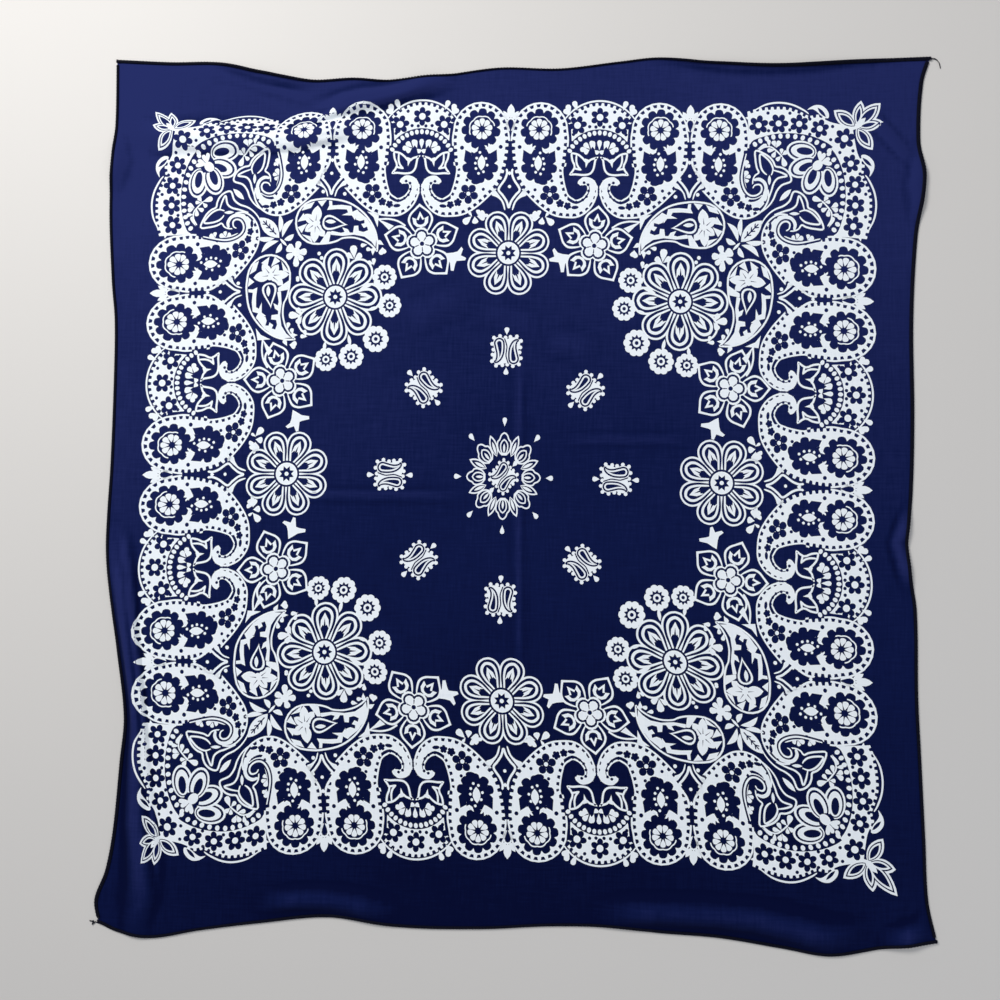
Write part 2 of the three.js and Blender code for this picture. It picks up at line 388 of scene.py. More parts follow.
def bump(tree, height, strength, distance):
    node = tree.nodes.new("ShaderNodeBump")
    node.inputs["Strength"].default_value = strength
    node.inputs["Distance"].default_value = distance * MM
    tree.links.new(height, node.inputs["Height"])
    return node.outputs["Normal"]


# %% Navy cotton and white print
THREAD_PITCH = 0.42


def woven(name, stops, roughness, sheen, sheen_tint, painted_light=False):
    """Cotton of that colour range: uneven dye, slubs and a plain weave.

    Painted light, if asked for: a painted sheen that is lighter towards the top, the left and the sides,
    painted shade towards the lower middle, and painted light on crease crests with painted shade in their
    hollows.
    """
    material, tree, shader = nodes_of(name)
    place = tree.nodes.new("ShaderNodeTexCoord").outputs["Object"]
    broad = noise(tree, place, 9, 3)
    warp = noise(tree, place, 60, 4, (1, 14, 1))
    weft = noise(tree, place, 60, 4, (14, 1, 1))
    streaks = math_node(tree, "MULTIPLY", math_node(tree, "ADD", warp, weft), 0.36)
    uneven = math_node(tree, "ADD", streaks, math_node(tree, "MULTIPLY", broad, 0.28))
    if painted_light:
        # Painted sheen and shade: lighter towards the top, the left and both sides, darker towards the lower
        # middle
        parts = tree.nodes.new("ShaderNodeSeparateXYZ")
        tree.links.new(place, parts.inputs["Vector"])
        across, along = parts.outputs["X"], parts.outputs["Y"]
        aside = math_node(tree, "MULTIPLY", math_node(tree, "MULTIPLY", across, across), 2.2)
        upwards = math_node(tree, "MULTIPLY", along, 1.25)
        leftwards = math_node(tree, "MULTIPLY", across, -0.12)
        lighter = math_node(tree, "ADD", math_node(tree, "ADD", upwards, leftwards), aside)
        # Painted light and shade on the creases: lighter on crests, darker in hollows
        painted_crease_shade = tree.nodes.new("ShaderNodeAttribute")
        painted_crease_shade.attribute_name = "painted_crease_shade"
        lighter = math_node(tree, "ADD", lighter, math_node(tree, "MULTIPLY", painted_crease_shade.outputs["Fac"], 0.42))
        uneven = math_node(tree, "ADD", lighter, math_node(tree, "MULTIPLY", uneven, 0.9))
    tree.links.new(ramp(tree, uneven, stops), shader.inputs["Base Color"])
    threads = weave(tree, place, THREAD_PITCH)
    threads = math_node(tree, "MULTIPLY", threads, 0.5)
    relief = math_node(tree, "ADD", threads, math_node(tree, "MULTIPLY", streaks, 1.4))
    tree.links.new(bump(tree, relief, 0.34, 0.09), shader.inputs["Normal"])
    shader.inputs["Roughness"].default_value = roughness
    shader.inputs["Specular IOR Level"].default_value = 0.04
    shader.inputs["Sheen Weight"].default_value = sheen
    shader.inputs["Sheen Roughness"].default_value = 0.5
    shader.inputs["Sheen Tint"].default_value = (*sheen_tint, 1)
    return material


# The navy carries painted sheen and shade across the cloth, and painted light and shade on its creases
navy_cotton = woven(
    "navy_cloth",
    [(0.10, (0.0010, 0.0030, 0.030)), (0.46, (0.0036, 0.0084, 0.058)), (0.88, (0.0138, 0.0208, 0.106))],
    0.82,
    0.03,
    (0.35, 0.45, 1.0),
    painted_light=True,
)
white_print = woven(
    "white_print",
    [(0.26, (0.74, 0.80, 0.86)), (0.46, (0.86, 0.91, 0.95)), (0.7, (0.90, 0.94, 0.96))],
    0.88,
    0.0,
    (0.9, 0.95, 1.0),
)
print("materials:", navy_cotton.name, white_print.name)

# %% [markdown]
# ## The panel
# One shell of cloth 0.4 mm thick, closed round its rim. The real panel runs on under the overlock to the
# cut edge, so this one does too. Its grid is finer within 40 mm of the sides, where the folds are.

# %% Panel
CLOTH = 0.4
FINE_BAND = 44


def grid_lines(half, edge):
    """Lines from -half to half, closer together near both sides."""
    middle = half - FINE_BAND
    fine = np.linspace(0, FINE_BAND, int(FINE_BAND / 1.9) + 1)[:-1]
    coarse = np.linspace(-middle, middle, int(2 * middle / 3.1) + 1)
    lines = np.concatenate([-half + fine, coarse, (half - fine)[::-1]])
    return lines * (half - edge) / half


EDGE_INSET = 0.5  # the cloth ends inside the loops of thread
us = grid_lines(HALF_WIDTH, EDGE_INSET)
vs = grid_lines(HALF_HEIGHT, EDGE_INSET)
grid_u, grid_v = np.meshgrid(us, vs)
low_points = underside(grid_u, grid_v)
high_points = above(grid_u, grid_v, np.full(grid_u.shape, CLOTH))

columns, rows = len(us), len(vs)
index = np.arange(columns * rows).reshape(rows, columns)
a, b, c, d = (part.ravel() for part in (index[:-1, :-1], index[:-1, 1:], index[1:, 1:], index[1:, :-1]))
top = columns * rows
faces = np.concatenate(
    [
        np.stack([top + a, top + b, top + c], 1),
        np.stack([top + a, top + c, top + d], 1),
        np.stack([a, c, b], 1),
        np.stack([a, d, c], 1),
    ]
)
rim = np.concatenate([index[0, :-1], index[:-1, -1], index[-1, :0:-1], index[:0:-1, 0]])
after = np.roll(rim, -1)
walls = np.concatenate([np.stack([rim, after, top + after], 1), np.stack([rim, top + after, top + rim], 1)])
points = np.concatenate([low_points.reshape(-1, 3), high_points.reshape(-1, 3)])
cloth = mesh_object("cloth", points, np.concatenate([faces, walls]), [navy_cotton])
cloth.data.set_sharp_from_angle(angle=math.radians(50))

# How much a point stands out from its surroundings: a crest is above 0, a hollow below. From it the navy is
# painted lighter on crests and darker in hollows, as painted light and shade on the creases.
AROUND = 3.5
beside_it = height_at(grid_u - AROUND, grid_v) + height_at(grid_u + AROUND, grid_v)
beside_it = beside_it + height_at(grid_u, grid_v - AROUND) + height_at(grid_u, grid_v + AROUND)
standing_out = np.clip((height_at(grid_u, grid_v) - beside_it / 4) / 0.5, -1, 1).ravel()
painted_crease_shade = cloth.data.attributes.new("painted_crease_shade", "FLOAT", "POINT")
painted_crease_shade.data.foreach_set("value", np.concatenate([standing_out, standing_out]).astype(np.float32))
print("creases from", round(float(standing_out.min()), 2), "to", round(float(standing_out.max()), 2))
print("panel:", len(cloth.data.polygons), "triangles,", columns, "by", rows, "lines")


def on_cloth(u, v, lift):
    """The point of the panel's own upper triangles at u, v on the cut cloth, lifted off it."""
    i = np.clip(np.searchsorted(us, u, side="right") - 1, 0, columns - 2)
    j = np.clip(np.searchsorted(vs, v, side="right") - 1, 0, rows - 2)
    s = ((u - us[i]) / (us[i + 1] - us[i]))[:, None]
    t = ((v - vs[j]) / (vs[j + 1] - vs[j]))[:, None]
    p00, p10 = high_points[j, i], high_points[j, i + 1]
    p11, p01 = high_points[j + 1, i + 1], high_points[j + 1, i]
    lower = p00 + s * (p10 - p00) + t * (p11 - p10)
    upper = p00 + s * (p11 - p01) + t * (p01 - p00)
    return np.where(t < s, lower, upper) + normal_at(u, v) * lift

# %% [markdown]
# ## Overlocked hems
# A factory bandana isn't folded and sewn: a machine binds its cut edge with loops of thread. Each hem is a
# slightly flattened roll of thread along the edge, crossed by one stitch every 2 mm. A stitch is two
# slanted threads over the edge and a short straight one along the needle line. It is made once and set
# along the hem by Geometry Nodes.

# %% Hem thread
hem_thread, tree, shader = nodes_of("hem_thread")
place = tree.nodes.new("ShaderNodeTexCoord").outputs["Object"]
fibres = noise(tree, place, 900, 3)
thread_colour = ramp(tree, fibres, [(0.3, (0.0006, 0.0009, 0.0055)), (0.7, (0.0022, 0.0030, 0.0150))])
tree.links.new(thread_colour, shader.inputs["Base Color"])
tree.links.new(bump(tree, fibres, 0.5, 0.12), shader.inputs["Normal"])
shader.inputs["Roughness"].default_value = 0.74
shader.inputs["Specular IOR Level"].default_value = 0.15


def tube(line, radius, round_steps=6):
    """Points and faces of a thread along a line, closed at both ends."""
    line = np.asarray(line, float)
    ahead = np.gradient(line, axis=0)
    ahead /= np.linalg.norm(ahead, axis=1)[:, None]
    side = np.cross(ahead, (0.13, 0.21, 0.97))
    side /= np.linalg.norm(side, axis=1)[:, None]
    up = np.cross(side, ahead)
    turns = np.linspace(0, 2 * math.pi, round_steps, endpoint=False)
    circle_points = side[:, None] * np.cos(turns)[None, :, None] + up[:, None] * np.sin(turns)[None, :, None]
    points = (line[:, None] + radius * circle_points).reshape(-1, 3)
    faces = []
    for i in range(len(line) - 1):
        for k in range(round_steps):
            first = i * round_steps + k
            second = i * round_steps + (k + 1) % round_steps
            faces.append((first, first + round_steps, second + round_steps, second))
    last = (len(line) - 1) * round_steps
    faces.append(tuple(range(round_steps)))
    faces.append(tuple(last + k for k in reversed(range(round_steps))))
    return points, faces


def joined(parts):
    points, faces, count = [], [], 0
    for part_points, part_faces in parts:
        points.append(part_points)
        faces += [tuple(count + k for k in face) for face in part_faces]
        count += len(part_points)
    return np.concatenate(points), faces


PITCH = 2.0
THREAD = 0.2
# Lines of one stitch: along the hem, in from the cut edge, up
STITCH_LINES = [
    [(0.0, 3.1, 0.95), (0.2, 2.5, 1.22), (0.5, 1.4, 1.3), (0.8, 0.5, 1.12), (0.95, 0.0, 0.7),
        (0.9, 0.3, 0.25)],
    [(0.95, 0.05, 0.85), (1.25, 0.8, 1.26), (1.6, 1.9, 1.34), (1.95, 3.1, 0.98)],
    [(0.1, 3.25, 0.62), (0.5, 3.2, 1.08), (1.5, 3.2, 1.08), (1.9, 3.25, 0.62)],
]
stitch = mesh_object("stitch", *joined([tube(line, THREAD) for line in STITCH_LINES]), [hem_thread])
print("one stitch:", len(stitch.data.polygons), "faces")

# %% [markdown]
# The node group reads two directions stored on each point, turns the stitch to them, sets it there,
# realizes the copies and gives them the thread's material.

# %% Stitches along a hem, as a node group
group = bpy.data.node_groups.new("Stitches", "GeometryNodeTree")
group.interface.new_socket("Geometry", in_out="INPUT", socket_type="NodeSocketGeometry")
stitch_socket = group.interface.new_socket("Stitch", in_out="INPUT", socket_type="NodeSocketObject")
thread_socket = group.interface.new_socket("Thread", in_out="INPUT", socket_type="NodeSocketMaterial")
group.interface.new_socket("Geometry", in_out="OUTPUT", socket_type="NodeSocketGeometry")
add = group.nodes.new
given, result = add("NodeGroupInput"), add("NodeGroupOutput")


def direction(name):
    node = add("GeometryNodeInputNamedAttribute")
    node.data_type = "FLOAT_VECTOR"
    node.inputs["Name"].default_value = name
    return node.outputs["Attribute"]


def aligned(axis, pivot, vector, rotation=None):
    node = add("FunctionNodeAlignRotationToVector")
    node.axis = axis
    node.pivot_axis = pivot
    group.links.new(vector, node.inputs["Vector"])
    if rotation is not None:
        group.links.new(rotation, node.inputs["Rotation"])
    return node.outputs["Rotation"]


facing = aligned("Z", "X", direction("up"), aligned("X", "AUTO", direction("along")))
source = add("GeometryNodeObjectInfo")
setting = add("GeometryNodeInstanceOnPoints")
realize = add("GeometryNodeRealizeInstances")
dressed = add("GeometryNodeSetMaterial")
group.links.new(given.outputs["Stitch"], source.inputs["Object"])
group.links.new(given.outputs["Geometry"], setting.inputs["Points"])
group.links.new(source.outputs["Geometry"], setting.inputs["Instance"])
group.links.new(facing, setting.inputs["Rotation"])
group.links.new(direction("size"), setting.inputs["Scale"])
group.links.new(setting.outputs["Instances"], realize.inputs["Geometry"])
group.links.new(realize.outputs["Geometry"], dressed.inputs["Geometry"])
group.links.new(given.outputs["Thread"], dressed.inputs["Material"])
group.links.new(dressed.outputs["Geometry"], result.inputs["Geometry"])

# %% [markdown]
# The roll of thread under the stitches has an oval section. The top and bottom hems run on to the corners,
# and the side hems stop where those begin, as in the CAD part.

# %% Hems
ROLL_THICK = 1.1
# How much of the hem band faces up, along each hem: s, share. The edge turns under a little, most at the top.
SPREAD = {
    "overlock_bottom": [(-265, 0.66), (-200, 0.5), (-120, 0.6), (0, 0.52), (120, 0.58), (265, 0.62)],
    "overlock_right": [(-276, 0.6), (-100, 0.62), (60, 0.7), (276, 0.74)],
    "overlock_top": [(-265, 0.74), (-190, 0.66), (-120, 0.44), (0, 0.36), (100, 0.44), (190, 0.56),
        (265, 0.62)],
    "overlock_left": [(-276, 0.5), (0, 0.58), (276, 0.66)],
}


def roll(stations, place_at, share):
    """A closed oval roll along a hem.

    place_at gives the cut-cloth point at s along the hem and inwards from the edge.
    """
    turns = np.linspace(0, 2 * math.pi, 12, endpoint=False)
    inwards = HEM_WIDTH / 2 * (1 + np.cos(turns))
    up = ROLL_THICK / 2 * (1 + np.sin(turns))
    points, faces = [], []
    for s, wide in zip(stations, share):
        u, v = place_at(np.full(12, s), inwards * wide)
        points.append(np.maximum(above(u, v, up), (-1e9, -1e9, 0.02)))
    steps = len(stations) - 1
    for k in range(steps):
        for i in range(12):
            first, second = k * 12 + i, k * 12 + (i + 1) % 12
            faces.append((first, second, second + 12, first + 12))
    faces.append(tuple(reversed(range(12))))
    faces.append(tuple(steps * 12 + i for i in range(12)))
    return np.concatenate(points), faces


def outward(points, faces):
    """Faces turned so that their normals point out of the closed body."""
    volume = 0.0
    for face in faces:
        for i in range(1, len(face) - 1):
            volume += np.dot(points[face[0]], np.cross(points[face[i]], points[face[i + 1]]))
    return faces if volume > 0 else [tuple(reversed(face)) for face in faces]


def make_hem(name, half, place_at):
    stations = np.linspace(-half, half, int(2 * half / 2.0) + 1)
    rows = np.array(SPREAD[name])
    points, faces = roll(stations, place_at, np.interp(stations, rows[:, 0], rows[:, 1]))
    body = mesh_object(name + "_roll", points, outward(points, faces), [hem_thread])
    count = int(2 * half / PITCH)
    s = -half + (np.arange(count) + 0.0) * (2 * half / count)
    edge = np.zeros(count)
    start = above(*place_at(s, edge), edge)
    ahead = above(*place_at(s + 1, edge), edge) - start
    ahead /= np.linalg.norm(ahead, axis=1)[:, None]
    up = normal_at(*place_at(s, edge))
    seats = mesh_object(name + "_seats", start, [])
    size = np.stack([np.ones(count), np.interp(s, rows[:, 0], rows[:, 1]), np.ones(count)], 1)
    for attribute, values in (("along", ahead), ("up", up), ("size", size)):
        layer = seats.data.attributes.new(attribute, "FLOAT_VECTOR", "POINT")
        layer.data.foreach_set("vector", values.ravel())
    modifier = seats.modifiers.new("Stitches", "NODES")
    modifier.node_group = group
    modifier[stitch_socket.identifier] = stitch
    modifier[thread_socket.identifier] = hem_thread
    plain = bpy.data.meshes.new_from_object(seats.evaluated_get(bpy.context.evaluated_depsgraph_get()))
    bpy.data.objects.remove(seats)
    stitches = bpy.data.objects.new(name + "_stitches", plain)
    scene.collection.objects.link(stitches)
    plain.polygons.foreach_set("use_smooth", [True] * len(plain.polygons))
    both = [body, stitches]
    with bpy.context.temp_override(active_object=body, selected_editable_objects=both, object=body):
        bpy.ops.object.join()
    body.name = name
    body.data.set_sharp_from_angle(angle=math.radians(60))
    print(name + ":", count, "stitches,", sum(len(p.vertices) - 2 for p in body.data.polygons), "triangles")
    return body


side_half = HALF_HEIGHT - HEM_WIDTH - 0.3
hems = {
    "hem_bottom": make_hem("overlock_bottom", HALF_WIDTH, lambda s, inwards: (s, inwards - HALF_HEIGHT)),
    "hem_right": make_hem("overlock_right", side_half, lambda s, inwards: (HALF_WIDTH - inwards, s)),
    "hem_top": make_hem("overlock_top", HALF_WIDTH, lambda s, inwards: (-s, HALF_HEIGHT - inwards)),
    "hem_left": make_hem("overlock_left", side_half, lambda s, inwards: (inwards - HALF_WIDTH, -s)),
}
bpy.data.objects.remove(stitch)

# %% [markdown]
# Where the machine ran off the cloth, the ends of the thread were left hanging: a small curl at the upper
# right corner, a knotted end at the lower left and a nib at the upper left.

# %% Loose thread ends
# Rows: u, v of the root, then steps across the surface from it
LOOSE_ENDS = [
    (264.6, 278.2, [(-1.5, 0), (0.4, 0.3), (2.4, 0.1), (4, -0.9), (5.2, -2.6), (5.7, -4.6), (5.9, -6)]),
    (-263.6, -278.6, [(1.5, 0), (-0.6, -0.3), (-2.4, 0.4), (-3.6, -0.6), (-4.6, -1.4), (-3.4, 0.9),
                      (-4.8, 0.6), (-6.2, 0.9)]),
    (-263.4, 277.6, [(1, -0.5), (0, 0.4), (-0.6, 1.2), (-1.0, 2.3)]),
]
parts = []
for u, v, steps in LOOSE_ENDS:
    root = underside(np.array([u]), np.array([v]))[0]
    for shift in (0.0, 0.42):
        path = []
        for k, (x, y) in enumerate(steps):
            z = 0.6 - 0.03 * k + 0.12 * math.sin(k + 9 * shift)
            path.append((root[0] + x + 0.4 * shift, root[1] + y - shift, z))
        known = np.linspace(0, 1, len(steps))
        wanted = np.linspace(0, 1, 4 * len(steps))
        smooth_path = np.stack([np.interp(wanted, known, column) for column in np.array(path).T], 1)
        parts.append(tube(smooth_path, 0.19))
loose_points, loose_faces = joined([(p, outward(p, f)) for p, f in parts])
loose_ends = mesh_object("thread_ends", loose_points, loose_faces, [hem_thread])
print("loose ends:", len(LOOSE_ENDS))

# %% [markdown]
# ## The print
# The white is drawn as outlines in the plane of the print: millimetres p to the right and q up from its
# middle. White outlines are ink, bare outlines leave the navy showing, and what is drawn later lies on top.
# Everything is built from a few common shapes: smooth lines, teardrops, leaves, petals, toothed and
# scalloped rims. The pattern is the traditional one of such squares: paisleys and shells round the border,
# big flowers inside it, a medallion in the middle. One quarter is drawn and mirrored. Its points were read
# off enlarged, squared-up crops of the photo with a millimetre grid over them.

# %% Shapes to draw with
def curve(rows, steps=5, closed=False):
    """A smooth line through a few points."""
    points = np.array([row[:2] for row in rows], float)
    count = len(points)
    spans = count if closed else count - 1
    t = np.linspace(0, 1, steps, endpoint=False)[:, None]
    parts = []
    for i in range(spans):
        if closed:
            a, b, c, d = (points[(i + k) % count] for k in (-1, 0, 1, 2))
        else:
            a, b, c, d = (points[min(max(i + k, 0), count - 1)] for k in (-1, 0, 1, 2))
        bend, twist = 2 * a - 5 * b + 4 * c - d, 3 * b - a - 3 * c + d
        parts.append(0.5 * (2 * b + (c - a) * t + bend * t**2 + twist * t**3))
    if not closed:
        parts.append(points[-1:])
    return np.concatenate(parts)


def polar(x, y, radii, tilt=0.0):
    """A closed outline from its distance to a middle, for evenly spaced directions."""
    a = np.linspace(0, 2 * math.pi, len(radii), endpoint=False) + math.radians(tilt)
    return np.stack([x + radii * np.cos(a), y + radii * np.sin(a)], 1)


def circle(x, y, r, n=12):
    return polar(x, y, np.full(n, float(r)))


def local(points, x, y, tilt):
    """Points of a shape drawn along +x, turned by tilt and moved to x, y."""
    c = math.cos(math.radians(tilt))
    s = math.sin(math.radians(tilt))
    points = np.asarray(points, float)
    return np.stack([x + c * points[:, 0] - s * points[:, 1], y + s * points[:, 0] + c * points[:, 1]], 1)


def oval(x, y, a, b, tilt=0.0, n=16):
    t = np.linspace(0, 2 * math.pi, n, endpoint=False)
    return local(np.stack([a * np.cos(t), b * np.sin(t)], 1), x, y, tilt)


def drop(x, y, length, width, tilt, n=18):
    """A teardrop with its point at x, y."""
    t = np.linspace(0, 2 * math.pi, n, endpoint=False)
    across = width * 0.77 * np.sin(t) * np.sin(t / 2) ** 2
    return local(np.stack([length * (1 - np.cos(t)) / 2, -across], 1), x, y, tilt)


def leaf(x, y, length, width, tilt, n=6, bend=0.0):
    """A leaf pointed at both ends, with its root at x, y."""
    s = np.linspace(0, 1, n)
    side = width / 2 * np.sin(math.pi * s) ** 0.8
    middle = bend * np.sin(math.pi * s)
    right = np.stack([length * s, middle - side], 1)
    left = np.stack([length * s, middle + side], 1)[::-1][1:-1]
    return local(np.concatenate([right, left]), x, y, tilt)


def offset(outline, grow):
    """A closed outline moved outwards by grow."""
    ring = np.asarray(outline, float)
    ahead = np.roll(ring, -1, 0) - np.roll(ring, 1, 0)
    length = np.hypot(ahead[:, 0], ahead[:, 1])[:, None]
    area = np.sum(ring[:, 0] * np.roll(ring[:, 1], -1) - np.roll(ring[:, 0], -1) * ring[:, 1])
    normal = np.stack([ahead[:, 1], -ahead[:, 0]], 1) / np.maximum(length, 1e-9)
    return ring + normal * grow * (1 if area > 0 else -1)


def sides(line, half):
    """The two sides of a band along a line, half its width away."""
    line = np.asarray(line, float)
    ahead = np.gradient(line, axis=0)
    ahead /= np.hypot(ahead[:, 0], ahead[:, 1])[:, None]
    normal = np.stack([ahead[:, 1], -ahead[:, 0]], 1)
    half = np.broadcast_to(half, len(line))[:, None]
    return line + normal * half, line - normal * half


def stroke(line, width, ends=1.0):
    """A drawn line with rounded ends. ends: the share of its width that is left there."""
    line = np.asarray(line, float)
    s = np.linspace(0, 1, len(line))
    half = width / 2 * (ends + (1 - ends) * np.clip(np.minimum(s, 1 - s) * 5, 0, 1))
    right, left = sides(line, half)
    first = line[0] - (line[1] - line[0]) / np.hypot(*(line[1] - line[0])) * half[0]
    last = line[-1] + (line[-1] - line[-2]) / np.hypot(*(line[-1] - line[-2])) * half[-1]
    return np.concatenate([right, [last], left[::-1], [first]])


def ribbon(rows, grow=0.0, steps=5):
    """The outline of a shape of changing half width along a spine, round at its first row."""
    line = curve(rows, steps)
    half = curve([(i, row[2]) for i, row in enumerate(rows)], steps)[:, 1] + grow
    half = np.maximum(half, 0.05)
    right, left = sides(line, half)
    back = math.degrees(math.atan2(*(line[0] - line[1])[::-1]))
    a = np.radians(back + np.linspace(90, -90, 13)[1:-1])
    cap = np.stack([line[0, 0] + half[0] * np.cos(a), line[0, 1] + half[0] * np.sin(a)], 1)
    return np.concatenate([right, left[::-1], cap[::-1]])


def toothed(outline, pitch, depth, where=lambda x, y: True):
    """A closed outline with square teeth standing outwards, where it is asked for."""
    ring = np.concatenate([outline, outline[:1]])
    steps = np.hypot(*(np.diff(ring, axis=0).T))
    s = np.concatenate([[0], np.cumsum(steps)])
    count = max(int(round(s[-1] / pitch)), 3)
    # four corners to a tooth: foot, shoulder, shoulder, foot
    share = np.array([0.0, 0.1, 0.5, 0.6])
    at = ((np.arange(count)[:, None] + share) / count * s[-1]).ravel()
    base = np.stack([np.interp(at, s, ring[:, 0]), np.interp(at, s, ring[:, 1])], 1)
    high = offset(base, depth)
    up = np.tile([False, True, True, False], count)
    allowed = np.array([where(x, y) for x, y in base])
    return np.where((up & allowed)[:, None], high, base)


def cusped(x, y, a, b, lobes, depth, tilt=0.0):
    """An oval hollow whose rim is drawn in to points between round lobes."""
    t = np.linspace(0, 2 * math.pi, lobes * 6, endpoint=False)
    pull = 1 - depth * (1 - np.abs(np.sin(lobes * t / 2))) ** 2
    return local(np.stack([a * pull * np.cos(t), b * pull * np.sin(t)], 1), x, y, tilt)


def lobed(x, y, r, lobes, depth, tilt=0.0):
    """A round outline of full lobes with notches between them."""
    t = np.linspace(0, 2 * math.pi, lobes * 6, endpoint=False)
    return polar(x, y, r * (1 - depth * (1 - np.abs(np.cos(lobes * t / 2)) ** 0.7)), tilt)


def star(x, y, outer, inner, points, tilt=0.0):
    return polar(x, y, np.tile([outer, inner], points), tilt)


def ink(*outlines):
    return [(True, o) for o in outlines]


def bare(*outlines):
    return [(False, o) for o in outlines]


def shrunk(outline, share, x, y):
    """A smaller copy of an outline about the point x, y."""
    return (np.asarray(outline) - [x, y]) * share + [x, y]


def ring(outline, width):
    """A closed line of that width, with bare cloth inside it."""
    return ink(outline) + bare(offset(outline, -width))


def mirrored(shapes, p=None, q=None):
    """The same shapes the other way round, about the line at p or at q."""
    out = []
    for white, o in shapes:
        o = np.array(o)
        if p is not None:
            o[:, 0] = 2 * p - o[:, 0]
        if q is not None:
            o[:, 1] = 2 * q - o[:, 1]
        out.append((white, o))
    return out


def swapped(shapes):
    """The same shapes mirrored about the diagonal."""
    return [(white, np.array(o)[:, ::-1]) for white, o in shapes]


def moved(shapes, dp, dq):
    return [(white, np.array(o) + [dp, dq]) for white, o in shapes]


# %% [markdown]
# ## Border paisley
# The border is a row of paisleys, a curved drop that ends in a curl. In a screen print the dyed cloth
# itself is the second colour, so a motif is a stack: white shapes, and shapes where the cloth stays bare,
# in turn. Here the drop is drawn along a spine of half widths: a thin contour, a gap, and a body with
# square teeth. Two scalloped hollows lie in the body, one for the daisy and one for a pod set round with
# dots.

# %% Border paisley
LINE = 1.2

# Rows of the spine: p, q, half width
TALL = [
    (20, 226.5, 18.8), (19.9, 221, 19.6), (19.6, 214, 19.4), (19.9, 205, 18.4), (20.7, 198, 16.8),
    (24.2, 190.5, 13.9), (28.8, 183.4, 11.3), (33.8, 178.4, 9.2), (39.8, 175.8, 7.2), (46, 175.3, 5.9),
    (52.2, 179.2, 4.7), (55.7, 185.8, 3.7), (55, 191.2, 3.2), (51.6, 193.3, 2.7), (48.2, 192.4, 2.2),
    (46.8, 191, 1.2),
]
# The same for the one beside the corner, whose tail runs into a leaf
CORNER_TAIL = TALL[:8] + [(39.4, 176.8, 7.2), (45.4, 178.8, 5.4), (49.8, 183.4, 3.4), (51, 189, 1.5)]


def rosette(x, y):
    """The daisy in a paisley's head, half ringed by a scalloped line."""
    arc = np.radians(np.linspace(-25, 165, 41))
    scallop = 8.1 + 0.6 * np.abs(np.sin(4 * arc))
    shapes = ink(stroke(np.stack([x + scallop * np.cos(arc), y + scallop * np.sin(arc)], 1), 0.8))
    for k in range(9):
        tilt = 40 * k + 10
        c, s = math.cos(math.radians(tilt)), math.sin(math.radians(tilt))
        shapes += ink(drop(x + 1.4 * c, y + 1.4 * s, 5.7, 3.7, tilt, 14))
    return shapes + bare(circle(x, y, 2.2, 10))


def bare_flower(x, y, r, tilt=0.0, middle=1.5, petals=6):
    """A flower left bare in the white, with a white middle."""
    shapes = []
    for k in range(petals):
        petal_at = local([(0.62 * r, 0)], x, y, 360 * k / petals + tilt)[0]
        shapes += bare(oval(*petal_at, 0.38 * r, 1.85 * r / petals, 360 * k / petals + tilt, 12))
    return shapes + bare(circle(x, y, middle + 1.0, 12)) + ink(circle(x, y, middle, 12))


def paisley_hollows():
    shapes = bare(cusped(19.9, 227.3, 13.3, 13.7, 11, 0.2, 12))
    shapes += bare(cusped(19.8, 202.8, 11.5, 12.2, 9, 0.22, 90), oval(22.2, 192.6, 2.2, 3.6, 80, 10))
    shapes += bare([(9, 213.6), (8.4, 206), (15, 210)], [(30.2, 213.2), (31, 206), (25, 210.6)])
    shapes += bare([(17.2, 208), (21.6, 208), (21.6, 219), (17.2, 219)])
    # two jagged wings part the hollows
    left = [(7, 213.8), (9.8, 213.5), (14.3, 210.8), (17.4, 216.3), (16.2, 216.3), (14, 214.2), (12.6, 217.2)]
    right = [(33, 213.4), (28, 213), (24.2, 211.1), (22.1, 212.4), (21.4, 215.4), (24.3, 213.3),
        (26.2, 214.2)]
    return shapes + ink(left + [(11.2, 215.9), (7, 217.4)]) + ink(right + [(26.4, 217), (28.4, 215.4),
        (33, 217)])


def pod():
    """A slim pod with eight dots round it."""
    shapes = ink(leaf(19.1, 199.6, 10.4, 5.2, 90))
    for p, q in ((20.3, 211.6), (16.2, 207.6), (22.4, 207.8), (23.2, 204.4), (15.2, 203.2), (22.7, 200.9),
                 (17.6, 198.8), (20.9, 197.7)):
        shapes += ink(circle(p, q, 0.95, 8))
    return shapes


